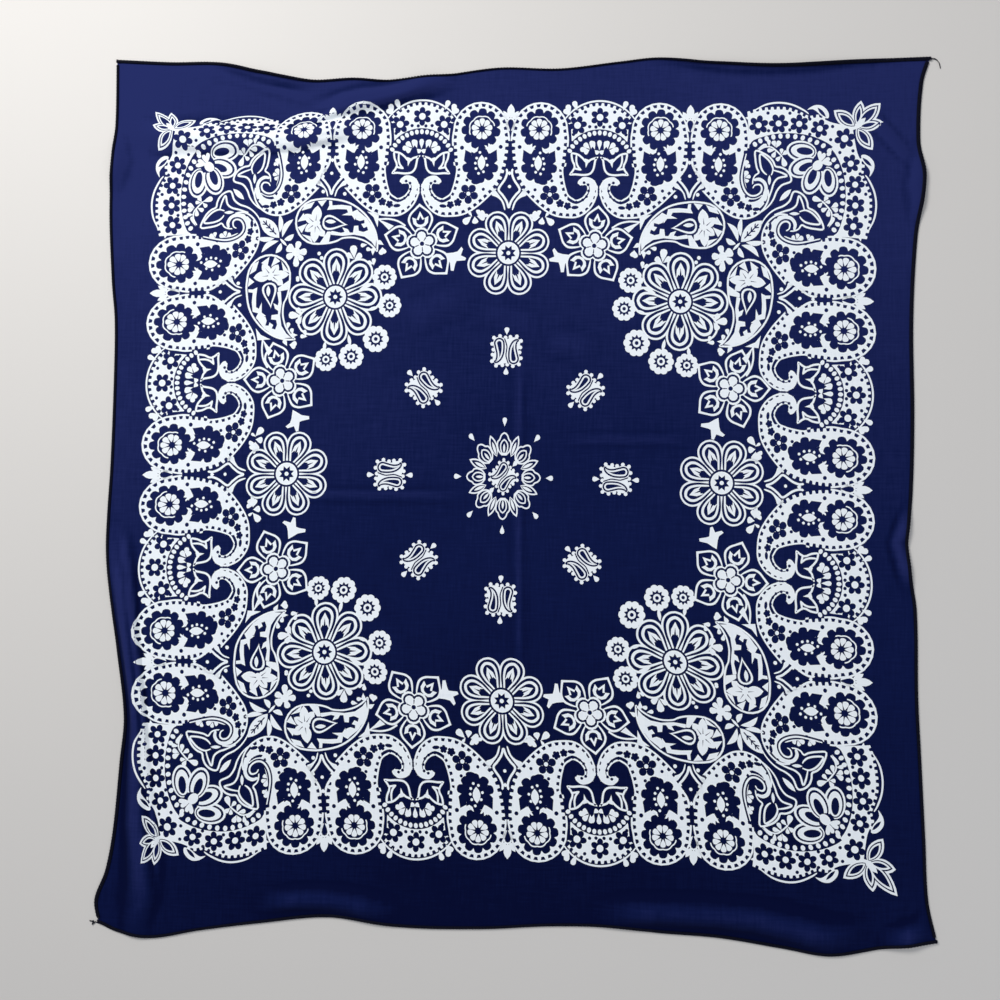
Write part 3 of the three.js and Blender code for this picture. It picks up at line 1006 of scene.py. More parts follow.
def tall_paisley(spine=TALL, curled=True):
    shapes = ink(ribbon(spine, 0)) + bare(ribbon(spine, -LINE))
    # between two heads and beside the shell the thin line is left out
    shapes += bare([(-1, 188), (9.4, 187.6), (7.5, 198), (5, 208), (3.4, 219.4), (-1, 219.4)])
    shapes += bare([(36.6, 205), (41, 205), (41, 215.8), (36.8, 215.8)])
    body = ribbon([(p, q, max(half - 3.2, 0.5 * half)) for p, q, half in spine])
    shapes += ink(toothed(body, 4.4, 2.1, lambda x, y: not (39 < x < 55 and y > 176.4)))
    shapes += paisley_hollows() + rosette(19.3, 227.2) + pod()
    shapes += bare(circle(6.4, 215.4, 1.35, 9), circle(32.5, 214.6, 1.4, 9))
    shapes += bare(circle(28.6, 193.2, 1.1, 8), circle(17.4, 187.2, 1.1, 8))
    shapes += bare_flower(27.4, 184.2, 6.8, 54, 1.4, 5)
    shapes += bare(lobed(34.4, 178.4, 2.8, 5, 0.3, 20), lobed(39.4, 176.8, 2.6, 5, 0.3, 50))
    shapes += bare(oval(44.4, 175.9, 2.5, 1.2, 5, 10))
    if curled:
        curl = curve([(57.1, 187.4), (56.3, 191.2), (53.6, 193.9), (50.2, 194.4), (47.4, 192.8)], 5)
        shapes += ink(stroke(curl, 3.2, 0.6))
        dots = [(52.9, 190.9), (50.2, 192.2), (53.3, 186.9), (52.0, 183.1), (49.5, 180.9), (45.2, 179.4)]
        for p, q in dots:
            shapes += bare(circle(p, q, 1.0, 7))
    else:
        for p, q in ((50, 180.6), (46.4, 182.8), (48.4, 185.8)):
            shapes += bare(circle(p, q, 0.8, 6))
    return shapes


print("border paisley:", len(tall_paisley()), "outlines")

# %% [markdown]
# A bud stands between two heads, and a diamond with a wedge on either side fills the ground between two
# bellies.

# %% Bud and diamond
def bud(p=0.0):
    """The bud that stands between two heads at the outer edge."""
    shapes = ink(oval(p, 230.4, 3.2, 4.4, 0, 14))
    for side in (-1, 1):
        shapes += ink(leaf(p + side * 1.0, 233.2, 7.4, 3.2, 90 - side * 34))
    shapes += ink(leaf(p, 234.2, 9.8, 5.2, 90))
    return shapes + bare(drop(p, 225.0, 8.8, 3.9, 90, 12))


def diamond(p=0.0, q=0.0, reach=1.0):
    """The diamond between two paisleys, with a wedge on either side of its foot."""
    shapes = ink([(p - 2, q + 198.4), (p, q + 196.6), (p + 2, q + 198.4), (p, q + 199.2)])
    edge = [(1.9, 200.4), (1.7, 197.6), (3.3, 193.4), (7.1, 187.4), (4.4, 183.6), (1.6, 179.6), (0.2, 175.4)]
    wedge = [(2.2, 174), (3.2, 178.4), (6, 182.6), (10.2, 187.2), (11.8, 183.6), (8.2, 182), (5, 179.2),
             (3.1, 174.2)]
    for side in (-1, 1):
        shapes += ink(stroke(curve([(p + side * a, q + b) for a, b in edge], 4), 1.5))
        rows = [(p + side * (2.2 + reach * (a - 2.2)), q + 174 + reach * (b - 174)) for a, b in wedge]
        shapes += ink(curve(rows, 3, True))
    return shapes + ink(circle(p + 0.2, q + 189.2, 1.15, 8))


# %% [markdown]
# ## The shell over two curls
# Two paisleys face each other and carry an arched shell: a toothed band with bare flowers, a row of beads
# and a palmette under it. A three-lobed leaf grows from each curl.

# %% Shell
LOBED_LEAF = [
    (0.5, 209.3), (3, 209), (6, 208), (8.2, 206.4), (10.6, 208.8), (14.2, 211.4), (18.9, 211.9), (18.7, 207),
    (17, 202.4), (20, 197.3), (15.6, 197), (10.4, 196.6), (6, 197.4), (3.4, 200.2), (2.4, 204.2), (1.9, 207),
]
# Rows of the palmette's lobes: distance from the middle line, q, length, width, tilt
PALMETTE = [
    (6.2, 214.4, 5.6, 3.6, 138), (6.6, 213.8, 6.4, 3.5, 176), (6.4, 214.2, 4.6, 3.2, 216),
    (5.6, 214.4, 5.6, 3.4, 84),
    (3.2, 213.8, 3.6, 3.2, 318), (3.0, 214, 6.0, 3.2, 108),
]


def arc(p, q, r, first, last, n):
    a = np.radians(np.linspace(first, last, n))
    return np.stack([p + r * np.cos(a), q + r * np.sin(a)], 1)


def lobed_leaf(p, side):
    shapes = ring(curve([(p + side * a, b) for a, b in LOBED_LEAF], 3, True), 1.35)
    for rows in ([(15.2, 211), (15.3, 206.4), (14.2, 203), (12, 200.6)],
        [(17, 201.6), (14.6, 201.2), (12, 200.6)]):
        shapes += ink(stroke(curve([(p + side * a, b) for a, b in rows], 4), 1.3, 0.6))
    return shapes + ink([(p + side * a, b) for a, b in ((9.6, 208.2), (6.4, 207.2), (8.9, 202))])


def shell(p=60.0):
    """The arched shell over the two curled tails."""
    shapes = ink(stroke(arc(p, 217.4, 28.8, 143, 37, 34), LINE, 0.7))
    body = np.concatenate([arc(p, 217.4, 25.6, 40, 140, 34), arc(p, 202.8, 24.7, 139, 41, 30)])
    shapes += ink(toothed(body, 3.9, 1.9, lambda x, y: y > 231))
    for a, out, lower in ((130, 23.3, 5.2), (90, 18.0, 0), (50, 23.3, 5.2)):
        x = p + out * math.cos(math.radians(a))
        y = 217.4 + out * math.sin(math.radians(a)) - lower
        shapes += bare_flower(x, y, 6.4, a, 2.3)
    for dx, y in ((9.8, 238.9), (6.8, 229.2), (17.6, 224), (2.6, 229)):
        shapes += bare(circle(p - dx, y, 1.15, 8), circle(p + dx, y, 1.15, 8))
    for a in np.linspace(152.5, 27.5, 15):
        x = p + 22.4 * math.cos(math.radians(a))
        y = 202.8 + 22.4 * math.sin(math.radians(a))
        shapes += ink(oval(x, y, 1.7, 1.35, a, 10))
    shapes += ink(drop(p, 213.4, 7.0, 3.2, 90, 12))
    for side in (-1, 1):
        for dx, y, length, width, tilt in PALMETTE:
            shapes += ink(drop(p + side * dx, y, length, width, tilt if side < 0 else 180 - tilt, 12))
        shapes += lobed_leaf(p, side)
        # fingers of a bud outside the arch
        for dx, y, length, width, tilt in ((19.4, 236.4, 6.4, 3.6, 142), (20.2, 237, 7, 3.8, 104),
                                           (15.2, 239.6, 7, 3.6, 112)):
            shapes += ink(drop(p + side * dx, y, length, width, tilt if side < 0 else 180 - tilt, 12))
    return shapes


# %% [markdown]
# ## Flowers
# Three kinds of flower make the inner ring. Each is one petal, drawn once and turned round the middle:
# eight double-lined petals round a starred button, five pointed petals with a trefoil, and small daisies.

# %% Flowers
def petal(rows, size=1.0):
    """A petal along +x from its half widths: rows of distance out, half width."""
    rows = [(a * size, b * size) for a, b in rows]
    other = [(a, -b) for a, b in rows[:-1]]
    lower = curve(other + [rows[-1]], 4)
    upper = curve([rows[-1]] + rows[:-1][::-1], 4)[1:]
    return np.concatenate([lower, upper])


# From the outside in: is it white, rows of distance out and half width
ROUND_PETAL = [
    (True, [(5, 1.8), (10, 4.6), (16, 7.6), (22, 9), (27, 7.8), (30.4, 4.2), (31.4, 0)]),
    (False, [(5, 0.9), (10, 3.4), (16, 6.3), (22, 7.6), (26.4, 6.6), (29.2, 3.5), (30.1, 0)]),
    (True, [(8, 1.5), (12, 3.1), (17, 5.0), (22, 5.8), (25.6, 4.7), (27.6, 2.5), (28.4, 0)]),
    (False, [(8, 0.3), (12, 1.7), (17, 3.5), (21.6, 4.1), (24.4, 3.2), (25.9, 1.5), (26.5, 0)]),
]
ARROW = [(14.6, -2.8), (20, -2.6), (24.8, 0), (20, 2.6), (14.6, 2.8), (17.2, 1.3), (15.6, 0), (17.2, -1.3)]


def round_flower(x, y, r, petals=8, tilt=0.0):
    """Eight double-lined petals round a starred button."""
    size = r / 31
    turns = [360 * k / petals + tilt for k in range(petals)]
    shapes = []
    for white, rows in ROUND_PETAL:
        outline = petal(rows, size)
        shapes += [(white, local(outline, x, y, turn)) for turn in turns]
    for turn in turns:
        # arrow of white in the petal's hollow
        shapes += ink(local(np.array(ARROW) * size, x, y, turn))
        shapes += bare(local(np.array([(14.8, -0.9), (21.4, 0), (14.8, 0.9)]) * size, x, y, turn))
    shapes += bare(circle(x, y, 8.6, 24)) + ink(circle(x, y, 7.3, 24))
    return shapes + bare(star(x, y, 5.3, 3.2, 8, tilt)) + ink(circle(x, y, 1.4, 10))


POINTED_PETAL = [(7, 3.4), (10.5, 6.4), (15.5, 8.6), (20, 7.2), (23.4, 3.6), (26.6, 0)]
POINTED_HOLLOW = [(6, 2.4), (10.5, 5.1), (15.5, 7.1), (19.3, 6.0), (22.4, 2.8), (24.6, 0)]
TREFOIL = [
    (10.8, 0), (11.4, -2.9), (13.4, -4.9), (17.8, -5.5), (16.4, -2.4), (21.4, 0), (16.4, 2.4), (17.8, 5.5),
    (13.4, 4.9), (11.4, 2.9),
]


def pointed_flower(x, y, tilt):
    """Five pointed petals, a trefoil in each, round a five-lobed middle."""
    turns = [72 * k + tilt for k in range(5)]
    shapes = []
    for turn in turns:
        shapes += ink(local(petal(POINTED_PETAL), x, y, turn))
    for turn in turns:
        shapes += bare(local(petal(POINTED_HOLLOW), x, y, turn))
    for turn in turns:
        shapes += ink(local(TREFOIL, x, y, turn))
        shapes += bare(local(shrunk(TREFOIL, 0.55, 14.6, 0), x, y, turn))
    shapes += ink(lobed(x, y, 10.9, 5, 0.26, tilt)) + bare(lobed(x, y, 9.4, 5, 0.26, tilt))
    shapes += ink(lobed(x, y, 8.1, 5, 0.4, tilt))
    for turn in turns:
        shapes += bare(local([(2.2, -0.2), (4.8, -0.4), (4.8, 0.4), (2.2, 0.2)], x, y, turn + 36))
    return shapes + bare(circle(x, y, 1.5, 10))


def daisy(x, y, r, lobes=10, tilt=0.0):
    shapes = ink(lobed(x, y, r, lobes, 0.12, tilt))
    shapes += bare(star(x, y, 0.62 * r, 0.42 * r, lobes, tilt + 180 / lobes))
    return shapes + ink(circle(x, y, 0.31 * r, 12)) + bare(circle(x, y, 0.15 * r, 8))


print("round flower:", len(round_flower(0, 0, 31)), "outlines, pointed flower:", len(pointed_flower(0, 0, 0)))

# %% [markdown]
# ## The lying paisley and the small leaves
# A second paisley lies inside the border, with a star lily in its head, a teardrop and jagged fronds in its
# body. Its parts stop short of its contour, as printed shapes do. Leaves, clovers and sprigs fill the
# ground between.

# %% Lying paisley
# Rows of the spine: p, q, half width
LYING = [
    (129.4, 165.2, 15.2), (121, 165.8, 15.1), (111.4, 166, 12.9), (102.4, 163, 9.8), (95.2, 157.8, 6.5),
    (90.6, 151.8, 3.4), (88, 145.6, 0.5),
]
BACK_FROND = [
    (89.3, 148.6), (88.8, 154), (91, 161), (95.6, 167.4), (101, 171.6), (102.6, 173.2), (103.8, 169),
    (103.2, 166.6),
    (100.4, 165.6), (97.4, 166.4), (97.2, 164.2), (99.4, 163.6), (97.6, 161), (95.4, 162), (94.6, 159.6),
    (97.8, 158.4), (101, 159.2), (101.4, 162.6), (104.2, 162.4), (104.8, 158), (107, 158), (108.4, 160.2),
    (112.2, 161.4), (110.6, 158.4), (113, 157.8), (119.6, 159.2), (120, 156.6), (112, 155.8), (104, 156.6),
    (97, 155.4), (92, 152),
]
TOP_FROND = [
    (102.4, 173.2), (103.8, 166.2), (106, 169.2), (112.8, 169.4), (108.6, 171.2), (109.6, 173.2),
    (116, 173.4),
    (123, 172.8), (121.6, 175.6), (121.8, 179), (119.8, 178.8), (119.4, 175.8), (113, 176.2), (106.6, 175.4),
    (105.6, 171.6),
]
RIM_POINTS = [
    [(131.6, 178.4), (138.2, 176.2), (140.4, 172.4), (134, 174.2)],
    [(139, 170.8), (142.9, 165.2), (136.4, 166.4)],
    [(136.2, 164), (142.8, 161.6), (139.8, 157.8)], [(132, 151.2), (139.8, 157), (133.6, 155.6)],
    [(123.4, 179.4), (129.6, 178.6), (126.6, 175)],
    [(121, 152), (127.4, 151), (121.8, 159.4), (119.8, 158.4)],
]
# Rows of the lily: tilt, length, width
LILY_PETALS = [(96, 12, 7.0), (40, 9.8, 5.8), (-35, 8.6, 5.4), (-88, 12.4, 6), (-127, 10.6, 6.2)]


def lying_paisley():
    shapes = ring(ribbon(LYING, 0), 1.3) + bare(ribbon(LYING, -1.3))
    shapes += ink(BACK_FROND, TOP_FROND, *RIM_POINTS)
    for tilt, length, width in LILY_PETALS:
        shapes += ink(leaf(130.6, 163.8, length, width, tilt, 8))
    shapes += ink(circle(130, 164.4, 2.6, 10))
    for tilt, *_ in LILY_PETALS:
        shapes += bare(local([(2, -0.3), (6.6, 0), (2, 0.3)], 130.6, 163.8, tilt))
    # teardrop
    shapes += bare(drop(106.8, 162.8, 20.4, 12.2, 7, 24)) + ink(drop(108.4, 163, 17.6, 10, 7, 24))
    return shapes + bare(drop(110.6, 163.3, 14.2, 7.2, 7, 20)) + ink(leaf(116.6, 165, 7.4, 2.7, 3))


# %% Leaves, clovers and sprigs
def leaf_fan():
    """Leaves fanned out along the diagonal towards the corner."""
    half = ink(leaf(154.8, 158.4, 12, 3.2, 88, 8, bend=0.8)) + ink(leaf(153, 155.4, 13.6, 3.5, 122, 8,
        bend=-1.8))
    half += ink(leaf(151.6, 153.6, 7.4, 3.4, 152, 7, bend=0.8))
    shapes = half + swapped(half)
    shapes += ink(leaf(155, 155, 19.4, 8.8, 45, 9))
    shapes += bare(stroke(np.array([(157.4, 157.4), (166.2, 166.2)]), 0.8))
    for t in (159, 161.6, 164):
        vein = bare(stroke(np.array([(t, t), (t + 0.3, t + 2.5)]), 0.75))
        shapes += vein + swapped(vein)
    return shapes + ink(leaf(149.6, 149.6, 7, 1.8, 45))


def clover():
    shapes = []
    petals = [
        (105, 7.4, 4.2), (32, 7.4, 6), (-30, 7.4, 4.4),
        (-92, 9.6, 4.2), (-132, 7, 3.6), (178, 7.4, 4.6),
    ]
    for tilt, length, width in petals:
        shapes += ink(drop(143.2, 145.4, length, width, tilt, 12))
    return shapes + ink(circle(143.2, 145.6, 2.9, 10))


LILY = [
    (42, 144.8), (36.4, 145.4), (33.6, 146.2), (31.2, 149.2), (30, 147.8), (31.4, 143.6), (27.8, 142),
    (28.4, 140.4),
    (34.2, 139.9), (35, 138), (36, 133.4), (37.9, 133.6), (38.6, 138.6), (40.8, 142.4),
]
# Rows of the sprigs: root p, root q, length, width, tilt
SPRIGS = [
    (21, 169.4, 5.6, 3.8, 148), (21.4, 169.4, 5.8, 3.4, 197), (20.6, 170, 3.8, 3, 92),
    (22.8, 169.4, 5, 4.4, -98),
    (24.6, 169.6, 7.6, 4.6, -42), (24.4, 169, 4, 2, 55), (20.4, 169.6, 7, 2.4, 176),
    (103.4, 140.6, 6, 4, 146), (103.4, 140.8, 9, 5, 84), (103.6, 140.6, 6.4, 3.6, 36),
    (84.6, 148.6, 4.6, 3.4, -112), (84.4, 148.8, 5.4, 3.4, -76), (83.6, 150, 5, 3, 30),
    (94.8, 150.2, 4.6, 2.8, -8),
    (91, 143, 5, 2.8, 92), (91.2, 146.6, 4.4, 2.8, 12), (90, 136.4, 5, 2.8, 88), (90, 137.4, 4.6, 2.8, 20),
]


def between_flowers():
    """The open lily beside a mid-side flower, small sprigs, wedges and dots."""
    shapes = ink(LILY)
    for p, q, length, width, tilt in SPRIGS:
        shapes += ink(drop(p, q, length, width, tilt, 12))
    shapes += ink(stroke(curve([(69.6, 162.8), (74.6, 165.7), (81, 167.1), (88.6, 166.7)], 4), 1.2))
    shapes += ink([(77.2, 162.6), (82.4, 164.8), (88.6, 167), (84.4, 163.6), (80.6, 159.8)])
    shapes += ink([(87.6, 170.4), (95.6, 171.8), (91.2, 168.2), (88.2, 161.6)])
    for p, q in ((127.4, 144.4), (141.5, 128.6), (111.3, 183.5), (126, 185)):
        shapes += ink(circle(p, q, 1.25, 10))
    return shapes


def daisy_stems():
    """Short stems from the diagonal flower to the daisies round it."""
    shapes = []
    for a, b, length, tilt in ((89.4, 125.2, 10.8, -23), (86, 109.6, 7.8, -18), (105.8, 91.4, 8, -101),
                               (121.4, 86.6, 6.1, -85)):
        shapes += ink(leaf(a, b, length, 2.4, tilt))
    return shapes


# %% [markdown]
# ## The middle
# Two small paisleys lie head to tail in a beaded patch. Eight patches stand in a ring round the medallion,
# and a ninth lies in it. The medallion's sixteen petals take turns, a tulip and a slim leaf.

# %% Small paisleys and medallion
def double_paisley(x, y, tilt, size=1.0):
    """Two small paisleys head to tail, with a drop at either end. The line between them lies along tilt."""
    shapes = []
    for k in range(18):
        a = math.radians(20 * k + 5)
        r = 10.4 - 1.7 * math.cos(4 * a)
        shapes += ink(circle(r * math.cos(a), r * math.sin(a), 1.3, 8))
    rim = np.radians(np.arange(0, 360, 12))
    shapes += ink(polar(0, 0, 9.6 - 1.8 * np.cos(4 * rim)))
    spine = [(5, 4.9, 3.5), (2, 4.4, 3.2), (-1.6, 4.2, 2.6), (-4.8, 5, 1.9), (-6.8, 6.6, 1.2), (-7, 8.2, 0.5)]
    for turn in (0, 180):
        for white, grow in ((False, 0.1), (True, -1.0), (False, -2.0)):
            shapes.append((white, local(ribbon(spine, grow, 3), 0, 0, turn)))
    shapes += bare(stroke(curve([(-8, -1.4), (-3.4, 0.2), (0, 0), (3.4, -0.2), (8, 1.4)], 3), 0.8))
    for side in (0, 180):
        shapes += ink(local(drop(10.4, 0, 5.0, 3.4, 0, 12), 0, 0, side))
    return [(white, local(np.asarray(o) * size, x, y, tilt)) for white, o in shapes]


TULIP = [(13.6, 1.8), (16, 4.4), (19.6, 5.6), (22.4, 5.3), (23.8, 3.9), (25.8, 3.1), (27.4, 1.8), (28.2, 0)]
HEART = [(14.4, 1.6), (17, 2.9), (20.2, 3.1), (22.6, 1.9), (24, 0)]


def medallion(x, y, wide, tall):
    """Sixteen petals round a small double paisley, and eight drops."""
    shapes = []
    tulip, heart = petal(TULIP), petal(HEART)
    for turn in range(0, 360, 45):
        shapes += ink(local(tulip, 0, 0, turn)) + bare(local(offset(tulip, -1.0), 0, 0, turn))
        shapes += ink(local(heart, 0, 0, turn)) + bare(local(offset(heart, -0.9), 0, 0, turn))
        shapes += ink(local(leaf(15.2, 0, 5.8, 1.7, 0), 0, 0, turn))
        # slim leaf between two tulips, with a white vein in its hollow
        layers = [(True, 13.8, 14.4, 5.6), (False, 14.6, 12.0, 3.7), (True, 15.2, 8.6, 1.9)]
        for white, root, length, width in layers:
            shapes.append((white, local(leaf(root, 0, length, width, 0, 8), 0, 0, turn + 22.5)))
        shapes += ink(local(drop(31.6, 0, 5.8, 3.4, 0, 12), 0, 0, turn))
    shapes += double_paisley(0, 0, 45, 0.9)
    return [(white, np.asarray(o) * [wide, tall] + [x, y]) for white, o in shapes]


print("medallion:", len(medallion(0, 0, 1, 1)), "outlines")

# %% [markdown]
# ## The corner
# At a corner the border turns: the last paisley's tail runs into a lobed leaf, a shell bends round the
# diagonal, a half palmette sits under it, and a tuft of double-lined leaves points outwards. One side of
# the diagonal is drawn, the other is its mirror image.

# %% Corner leaf
LEAF_OUTLINE = [
    (165.6, 172.9), (169.6, 175.2), (173.4, 178.6), (176.2, 182.8), (178.2, 187.8), (181.6, 191.8),
    (187.3, 194.2),
    (187, 198.2), (184.2, 201.7), (180.6, 203.4), (177.2, 204.1), (175.4, 207.6), (171.6, 211.2),
    (164.2, 214.2),
    (163.9, 208.6), (164.9, 203), (166.2, 199.9), (163.7, 197.8), (162.4, 194.6), (162.5, 190.2),
]
LEAF_LOBE = [
    (174.6, 198.4), (175.6, 202), (174.2, 206), (171, 209.6), (167.1, 211.9), (166.9, 207), (168, 202.4),
    (169.8, 199.8), (171.4, 198.6),
]
LEAF_FOOT = [(172.6, 182), (174.8, 188.4), (176.3, 193.2), (179.2, 196.4), (184.8, 197.8), (181, 200),
    (175.4, 201.6)]
HOOK = [
    (157.8, 212), (156, 204), (155, 197), (155.8, 191.4), (158, 187), (161, 184.8), (164.6, 184.9),
    (167.6, 187),
    (168.3, 190), (166.8, 192), (163.8, 191.6), (162.5, 189.8),
]
HOOK_BAND = [(166.4, 180.6), (169.9, 184.8), (171.2, 189.4), (169.9, 193.4), (166.6, 195.5), (163.4, 195)]


def corner_leaf():
    """The three-lobed leaf that a corner paisley's tail runs into, above the diagonal."""
    shapes = []
    for rows in (LEAF_OUTLINE, LEAF_LOBE, LEAF_FOOT):
        shapes += ink(stroke(curve(rows, 4), 1.25, 0.6))
    shapes += ink(leaf(173.3, 191.6, 6.8, 2.1, 90))
    shapes += bare(stroke(curve(HOOK, 4), 3.2)) + ink(stroke(curve(HOOK, 4), 1.2, 0.6))
    shapes += ink(stroke(curve(HOOK_BAND, 4), 2.2, 0.7))
    drops = [(156.6, 203.6, 4.8, 3, 62), (157, 203.8, 3.6, 2.6, 8), (156.6, 196.4, 5, 3.2, 66),
             (157, 196.6, 4, 2.6, 12), (157, 196, 3.4, 2.6, -46)]
    for p, q, length, width, tilt in drops:
        shapes += ink(drop(p, q, length, width, tilt, 12))
    return shapes


# %% Corner shell
SHELL_RIM = [(163.4, 241), (169.8, 244.3), (176, 245.7), (182.4, 245.7), (189, 244.2), (195.6, 241),
    (198.6, 238.8)]
SHELL_TOP = [
    (158.4, 238), (165.6, 240.2), (174, 241.2), (184, 241.2), (192, 238.8), (198.6, 235.6), (206, 236.4),
    (213, 233.4),
    (221, 231.6), (230, 230),
]
SHELL_LOW = [
    (216, 216), (212, 219.2), (205, 222.6), (197, 224.9), (187, 225.9), (178, 225.5), (170, 223.8),
    (162.4, 221),
    (159.8, 217.6),
]
SHELL_BEADS = [
    (163.5, 218.4), (167, 220.7), (171.2, 222.2), (175.6, 223.3), (180.3, 223.9), (185.1, 224),
    (190.1, 223.6),
    (195, 222.8), (199.8, 221.5), (204.3, 219.9), (208.6, 217.8), (212.6, 214.6),
]
SHELL_FLOWERS = [(165.8, 231, 6.6, 20), (179, 232.2, 6.6, 0), (192.6, 232, 6.4, 30), (206.2, 229, 6.2, 15)]
SHELL_DOTS = [
    (171.9, 239), (186.4, 239), (199.6, 235.2), (172.4, 227.4), (186.4, 228), (199.6, 225.2), (214.6, 230.4),
    (213.4, 221.8),
]
# Rows of the sprig under the shell: root p, root q, length, width, tilt
SHELL_SPRIG = [
    (164.8, 215, 7.4, 2.8, 26), (173, 216.6, 5, 2.6, 96), (177.4, 216, 5.4, 3.4, 62),
    (177.2, 216.4, 4.8, 3.2, 112),
    (177, 214.8, 5.4, 3, 184), (177.4, 214.4, 5, 3, -116), (181.2, 211.4, 4.4, 3, 34),
    (181, 211.8, 4, 2.6, 88),
    (181.4, 211, 7.4, 3.8, -72), (181, 211, 4.6, 2.8, -136),
]
CURL = [
    (197.8, 241.4), (202, 244.1), (206.6, 244.4), (210, 242.2), (212, 239), (211.6, 235.8), (207.4, 237.2),
    (204, 240.2), (201.2, 241.8),
]


def corner_shell():
    """One half of the shell, up to the diagonal: its outer edge, flowers, beads, sprig and half palmette."""
    shapes = ink(stroke(curve(SHELL_RIM, 4), LINE, 0.6))
    body = np.concatenate([curve(SHELL_TOP, 4), curve(SHELL_LOW, 4)])
    shapes += ink(toothed(body, 3.9, 1.8, lambda x, y: y > 234.6 and x < 211))
    for p, q, r, tilt in SHELL_FLOWERS:
        shapes += bare_flower(p, q, r, tilt, 2.0)
    for p, q in SHELL_DOTS:
        shapes += bare(circle(p, q, 1.15, 8))
    for p, q in SHELL_BEADS:
        shapes += ink(oval(p, q, 1.8, 1.45, math.degrees(math.atan2(q - 190, p - 182)), 9))
    shapes += ink(stroke(curve([(166, 214.4), (170, 216.6), (174.4, 216.6), (178.4, 213.6),
        (181.4, 210.6)], 4), 1.0))
    for p, q, length, width, tilt in SHELL_SPRIG:
        shapes += ink(drop(p, q, length, width, tilt, 12))
    for p, q, tilt in ((194.2, 214.2, -6), (195.4, 203.8, 22)):
        shapes += ink(oval(p, q, 10.0, 6.8, tilt, 22)) + bare(oval(p + 0.4, q, 8.9, 5.5, tilt, 22))
        shapes += ink(oval(p + 0.8, q, 7.8, 4.5, tilt, 20)) + bare(oval(p + 2.2, q, 5.4, 2.5, tilt, 16))
    return shapes + ink(curve(CURL, 3, True)) + bare(leaf(204.6, 242.8, 8.4, 2.2, -48))


def corner_middle():
    """What lies on the diagonal of the corner shell."""
    shapes = bare_flower(222.6, 222.6, 7.0, 15, 2.4)
    shapes += bare(circle(206, 206, 5.2, 16)) + ink(oval(204.9, 204.9, 3.8, 3.0, 45, 14))
    for tilt, length in ((92, 8.0), (64, 7.4), (26, 7.4), (-2, 8.0)):
        shapes += ink(drop(206.4, 206.4, length, 2.9, tilt, 12))
    return shapes + ink(leaf(180, 181.4, 11, 3.4, 45))


# %% Corner tuft
# Rows of the tuft's leaves: tilt, length, width
TUFT = [(144, 18.4, 9.6), (-54, 18.4, 9.6), (80, 17.6, 8.2), (10, 17.6, 8.2), (45, 22.4, 10.4)]


def corner_tuft():
    """Five double-lined leaves that share one outer line, and a small leaf over their roots."""
    root = 230.2
    shapes = []
    for tilt, length, width in TUFT:
        shapes += ink(leaf(root, root, length, width, tilt, 9))
    # each level: is it white, drawn in at the root, at the tip and at either side
    layers = [(False, 0.8, 1.9, 1.15), (True, 1.6, 3.2, 1.85), (False, 3.0, 5.0, 2.8)]
    for white, at_root, at_tip, at_side in layers:
        for tilt, length, width in TUFT:
            inner = leaf(at_root, 0, length - at_root - at_tip, width - 2 * at_side, 0, 9)
            shapes.append((white, local(inner, root, root, tilt)))
    return shapes + ink(leaf(228.4, 228.4, 11.2, 4.0, 45))


print("corner shell:", len(corner_shell()), "outlines")

# %% [markdown]
# ## From outlines to a film of ink
# The outlines of a motif are triangulated together. A triangle is kept if the topmost outline that it lies
# in is ink. The triangles are then laid on the cloth, made smaller where the cloth is folded, and given a
# thickness of a tenth of a millimetre, so that each piece of the print is a thin closed film on the panel's
# face.

# %% Filling outlines
def inside(outline, points):
    """Which points lie within an outline, by counting its turns round them."""
    turns = np.zeros(len(points), int)
    ring_points = np.asarray(outline)
    for (ax, ay), (bx, by) in zip(ring_points, np.roll(ring_points, -1, 0)):
        side = (bx - ax) * (points[:, 1] - ay) - (by - ay) * (points[:, 0] - ax)
        turns += (ay <= points[:, 1]) & (points[:, 1] < by) & (side > 0)
        turns -= (by <= points[:, 1]) & (points[:, 1] < ay) & (side < 0)
    return turns != 0


def filled(shapes):
    """Points and triangles of what stays white in a stack of outlines."""
    points, edges = [], []
    for _, outline in shapes:
        first = len(points)
        count = len(outline)
        points += [Vector((float(x), float(y))) for x, y in outline]
        edges += [(first + k, first + (k + 1) % count) for k in range(count)]
    out_points, _, triangles, *_ = delaunay_2d_cdt(points, edges, [], 0, 1e-5, False)
    flat = np.array([(point.x, point.y) for point in out_points])
    triangles = np.array(triangles)
    middle = flat[triangles].mean(1)
    white = np.zeros(len(triangles), bool)
    for is_ink, outline in shapes:
        outline = np.asarray(outline)
        near = np.all((middle >= outline.min(0)) & (middle <= outline.max(0)), axis=1)
        chosen = np.flatnonzero(near)
        white[chosen[inside(outline, middle[chosen])]] = is_ink
    one, two, three = (flat[triangles[:, k]] for k in range(3))
    area = np.cross(two - one, three - one) / 2
    keep = white & (np.abs(area) > 1e-4)
    triangles = np.where((area < 0)[:, None], triangles[:, ::-1], triangles)[keep]
    used, renumbered = np.unique(triangles, return_inverse=True)
    return flat[used], renumbered.reshape(-1, 3)


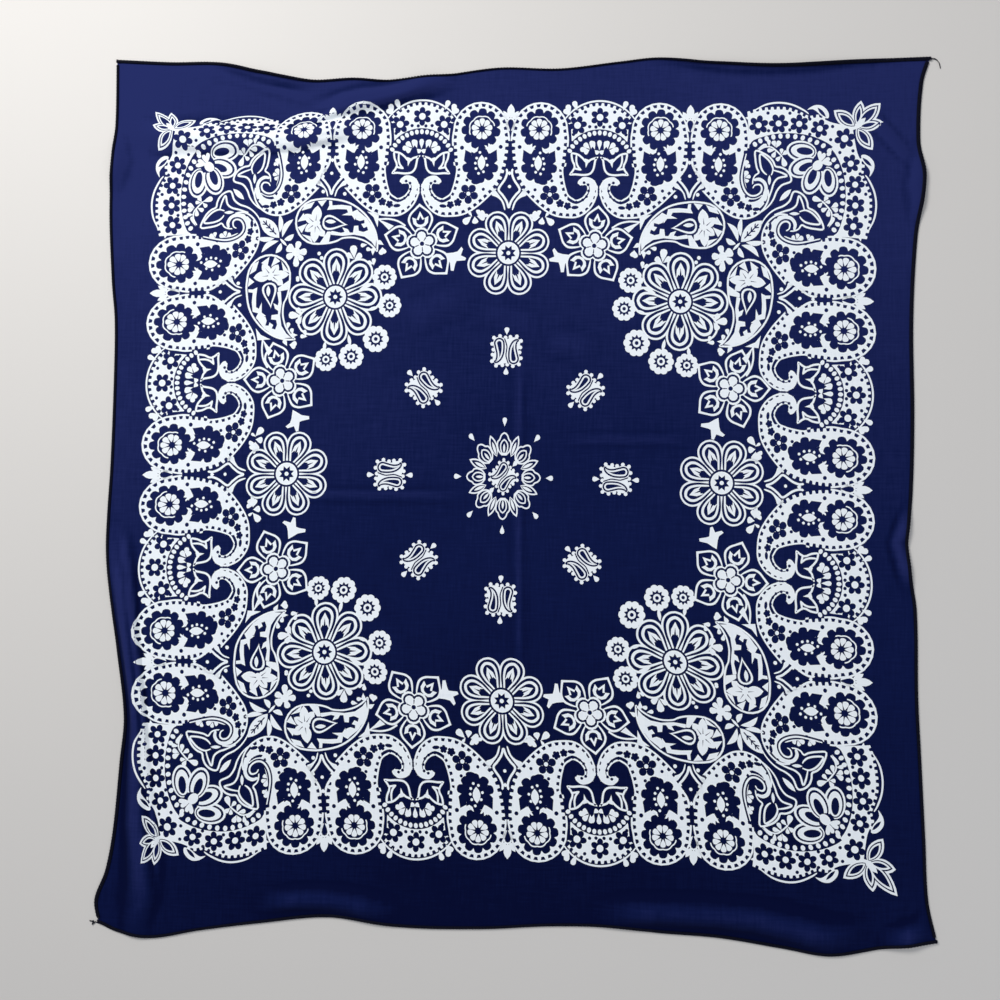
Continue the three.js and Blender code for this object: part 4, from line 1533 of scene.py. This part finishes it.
def split_long(points, triangles, limit, rounds=6):
    """Triangles divided until no edge is longer than the limit at its middle. Neighbours stay joined."""
    for _ in range(rounds):
        edges = np.sort(np.stack([triangles, np.roll(triangles, -1, 1)], 2).reshape(-1, 2), 1)
        unique, inverse = np.unique(edges, axis=0, return_inverse=True)
        ends = points[unique]
        middle = ends.mean(1)
        long = np.hypot(*(ends[:, 0] - ends[:, 1]).T) > limit(middle)
        if not long.any():
            break
        number = np.full(len(unique), -1)
        number[long] = len(points) + np.arange(long.sum())
        points = np.concatenate([points, middle[long]])
        cut = number[inverse.reshape(-1, 3)]
        pieces = [triangles[(cut < 0).all(1)]]
        for count in (1, 2, 3):
            some = (cut >= 0).sum(1) == count
            t, m = triangles[some], cut[some]
            if not len(t):
                continue
            # turn each triangle so that its cut edges come first
            first = (m < 0).argmax(1) + 1 if count == 2 else (m >= 0).argmax(1)
            order = (first[:, None] + np.arange(3)) % 3
            t = np.take_along_axis(t, order, 1)
            m = np.take_along_axis(m, order, 1)
            x, y, z = t.T
            if count == 1:
                pieces += [np.stack([x, m[:, 0], z], 1), np.stack([m[:, 0], y, z], 1)]
            elif count == 2:
                pieces += [np.stack([m[:, 0], y, m[:, 1]], 1), np.stack([x, m[:, 0], m[:, 1]], 1)]
                pieces += [np.stack([x, m[:, 1], z], 1)]
            else:
                pieces += [np.stack([x, m[:, 0], m[:, 2]], 1), np.stack([m[:, 0], y, m[:, 1]], 1)]
                pieces += [np.stack([m[:, 2], m[:, 1], z], 1), m]
        triangles = np.concatenate(pieces)
    return points, triangles


# %% [markdown]
# The print isn't quite square on the cloth: it is set a little to the left and up, 3.5 % narrower than high
# and turned by three quarters of a degree. The photo also shows the lower border drawn to the right by up
# to 9 mm, the sides hanging a little and the upper left corner pulled in. The pulls were set by hand after
# shifts that another script measured between the photo and a render.

# %% Where the print lies
PRINT_MIDDLE = (-7.5, 6.0)
PRINT_NARROWING = 0.965
PRINT_TURN = math.radians(-0.75)
FILM = 0.07  # the ink stands this far above the cloth
FILM_ROOT = -0.06  # and reaches this far into it


# Rows: p, q, spread along p, spread along q, dx, dy. The corners are pulled about by the folds under them.
PULLS = [
    (-225, 195, 40, 45, 0, -5), (-215, 258, 45, 16, 0, -11), (-150, 252, 32, 16, 0, -6.5),
    (-252, 236, 10, 18, 3, 0),
    (-226, -215, 30, 30, -2.5, -2.8), (-258, -240, 14, 24, 10, 0),
    (225, -205, 30, 30, 1.4, -2), (250, -250, 10, 10, 4.5, -6),
]


def print_place(p, q):
    """Where a point of the print lies in the plane, from the middle of the cut."""
    x = PRINT_NARROWING * p
    lower = np.clip((-q - 110) / 120, 0, 1)
    beside = (np.abs(p) / 228) ** 2 * (1 - smoothstep(np.abs(q), 120, 180))
    below = smoothstep(-q, 120, 160)
    corner = smoothstep(np.abs(p), 140, 190)
    inner = np.clip(-q / 60, 0, 1) * (1 - smoothstep(np.abs(p), 90, 160))
    dx = 9 * lower
    dy = 3.4 * inner - 3 * beside
    dy = dy + below * (2.0 * (1 - corner) * smoothstep(np.abs(p), 60, 140) - 2.8 * corner)
    for at_p, at_q, spread_p, spread_q, pull_x, pull_y in PULLS:
        share = np.exp(-((p - at_p) / spread_p) ** 2 / 2 - ((q - at_q) / spread_q) ** 2 / 2)
        dx = dx + pull_x * share
        dy = dy + pull_y * share
    c, s = math.cos(PRINT_TURN), math.sin(PRINT_TURN)
    return PRINT_MIDDLE[0] + x * c - q * s + dx, PRINT_MIDDLE[1] + x * s + q * c + dy


def print_on_cut(p, q):
    """The point of the cut cloth that carries a point of the print."""
    x, y = print_place(p, q)
    u, v = x.copy(), y.copy()
    for _ in range(8):
        now_x, now_y = shifted(u, v)
        u += x - now_x
        v += y - now_y
    return u, v


def fine_limit(points):
    """The longest edge allowed: 4.5 mm on flat cloth, 1.5 mm on a fold."""
    folded = np.zeros(len(points), bool)
    for path, half, *_ in FOLDS:
        distance, _, _ = near_path(path, points[:, 0], points[:, 1])
        folded |= distance < half + 1.5
    return np.where(folded, 1.5, 4.5)


def film(name, blocks):
    """One object from blocks of outlines. Each block lists its shapes and the ways it is mirrored."""
    all_points, all_triangles, count = [], [], 0
    for shapes, ways in blocks:
        flat, triangles = filled(shapes)
        for sign_p, sign_q in ways:
            u, v = print_on_cut(flat[:, 0] * sign_p, flat[:, 1] * sign_q)
            faces = triangles if sign_p * sign_q > 0 else triangles[:, ::-1]
            placed, faces = split_long(np.stack([u, v], 1), faces, fine_limit)
            all_points.append(placed)
            all_triangles.append(faces + count)
            count += len(placed)
    placed = np.concatenate(all_points)
    triangles = np.concatenate(all_triangles)
    upper = on_cloth(placed[:, 0], placed[:, 1], FILM)
    lower = on_cloth(placed[:, 0], placed[:, 1], FILM_ROOT)
    edges = np.stack([triangles, np.roll(triangles, -1, 1)], 2).reshape(-1, 2)
    key = np.sort(edges, 1)
    _, first, times = np.unique(key, axis=0, return_index=True, return_counts=True)
    rim = edges[first[times == 1]]
    below = rim + count
    one = np.stack([rim[:, 1], rim[:, 0], below[:, 0]], 1)
    other = np.stack([rim[:, 1], below[:, 0], below[:, 1]], 1)
    faces = np.concatenate([triangles, triangles[:, ::-1] + count, one, other])
    obj = mesh_object(name, np.concatenate([upper, lower]), faces, [white_print])
    obj.data.set_sharp_from_angle(angle=math.radians(45))
    print(name + ":", len(triangles), "on the face,", len(faces), "triangles in all")
    return obj


# %% [markdown]
# ## Laying out the print
# The pattern has four equal quarters, so each motif is made once and mirrored over the two middle lines.
# Beside the left and right hems the border is the same border turned, but the photo shows its inner parts up
# to 4 mm nearer to the middle than in the top border, while its outer line isn't. A short table holds that.

# %% Quarters and the turned border
QUARTERS = [(1, 1), (-1, 1), (1, -1), (-1, -1)]
ON_UPRIGHT = [(1, 1), (1, -1)]
ON_LEVEL = [(1, 1), (-1, 1)]
# Rows: distance from the middle, how much it changes beside the left and right hems
NEARER = [(160, -0.5), (169, -1), (181, -2.4), (190, -3.2), (203, -3), (212, -3.8), (227, -4.3), (236, -3),
    (246, -1.2)]


def turned(shapes, nearer=None):
    """The same motif beside the right hem, moved by the table or by one distance."""
    out = []
    for white, outline in swapped(shapes):
        move = np.interp(outline[:, 0], *np.array(NEARER).T) if nearer is None else nearer
        out.append((white, outline + np.stack([np.zeros(len(outline)) + move, np.zeros(len(outline))], 1)))
    return out


# %% Motifs in their places
paisley = tall_paisley()
paisleys = paisley + mirrored(paisley, p=60)
arch = shell()
end_of_border = bud(120.4) + diamond(120.4, 8, 0.8)
between = bud() + diamond()
last = moved(tall_paisley(CORNER_TAIL, False), 120.4, 0)
half_shell = corner_shell()
turn_leaf = corner_leaf()
corner_parts = last + turned(last) + half_shell + turned(half_shell, -2.3)
corner_parts += corner_middle() + turn_leaf + turned(turn_leaf, -5) + corner_tuft()
flowers = round_flower(115.5, 116, 31.5) + pointed_flower(57.8, 151, 84.6) + pointed_flower(149.5, 61, 2)
for p, q, r in ((82.5, 129, 8.3), (78.5, 110.5, 8), (87.2, 88.5, 8.8), (103.5, 77, 8.5), (120.5, 75, 7.8)):
    flowers += daisy(p, q, r)
lying = lying_paisley()
small = between_flowers()
flowers += lying + turned(lying, -4) + leaf_fan() + clover() + small + turned(small, -3) + daisy_stems()
mid_top = round_flower(0.5, 145.5, 28.5, 8, 22.5)
mid_side = round_flower(144.5, 0.5, 28.5, 8, 22.5)

# %% Print on the panel
print_border = film("print_border", [(paisleys + arch + end_of_border, QUARTERS), (between, ON_UPRIGHT)])
side_border = turned(paisleys) + turned(arch, -4) + turned(end_of_border)
print_sides = film("print_sides", [(side_border, QUARTERS), (turned(between), ON_LEVEL)])
print_corners = film("print_corners", [(corner_parts, QUARTERS)])
print_flowers = film("print_flowers", [(flowers, QUARTERS), (mid_top, ON_UPRIGHT), (mid_side, ON_LEVEL)])
patches = [(double_paisley(54, 57, 45), QUARTERS)]
patches += [(double_paisley(0.8, 81.5, 90), ON_UPRIGHT), (double_paisley(75, 0.3, 0), ON_LEVEL)]
print_middle = film("print_middle", [*patches, (medallion(0.8, 0, 0.88, 1.03), [(1, 1)])])

# %% [markdown]
# ## The pieces on one body
# Every piece rides on the part's one body. The panel and the four hems stand for their CAD nodes,
# and the print and the loose ends go with the cloth.

# %% Bodies and hidden CAD parts
prints = [print_border, print_sides, print_corners, print_flowers, print_middle]
for piece in [cloth, loose_ends, *hems.values(), *prints]:
    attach(piece, "root")
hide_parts("cloth_panel")
for node, hem_object in hems.items():
    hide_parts(node)
pieces = [cloth, loose_ends, *hems.values(), *prints]
total = sum(len(face.vertices) - 2 for piece in pieces for face in piece.data.polygons)
print("all pieces:", total, "triangles")
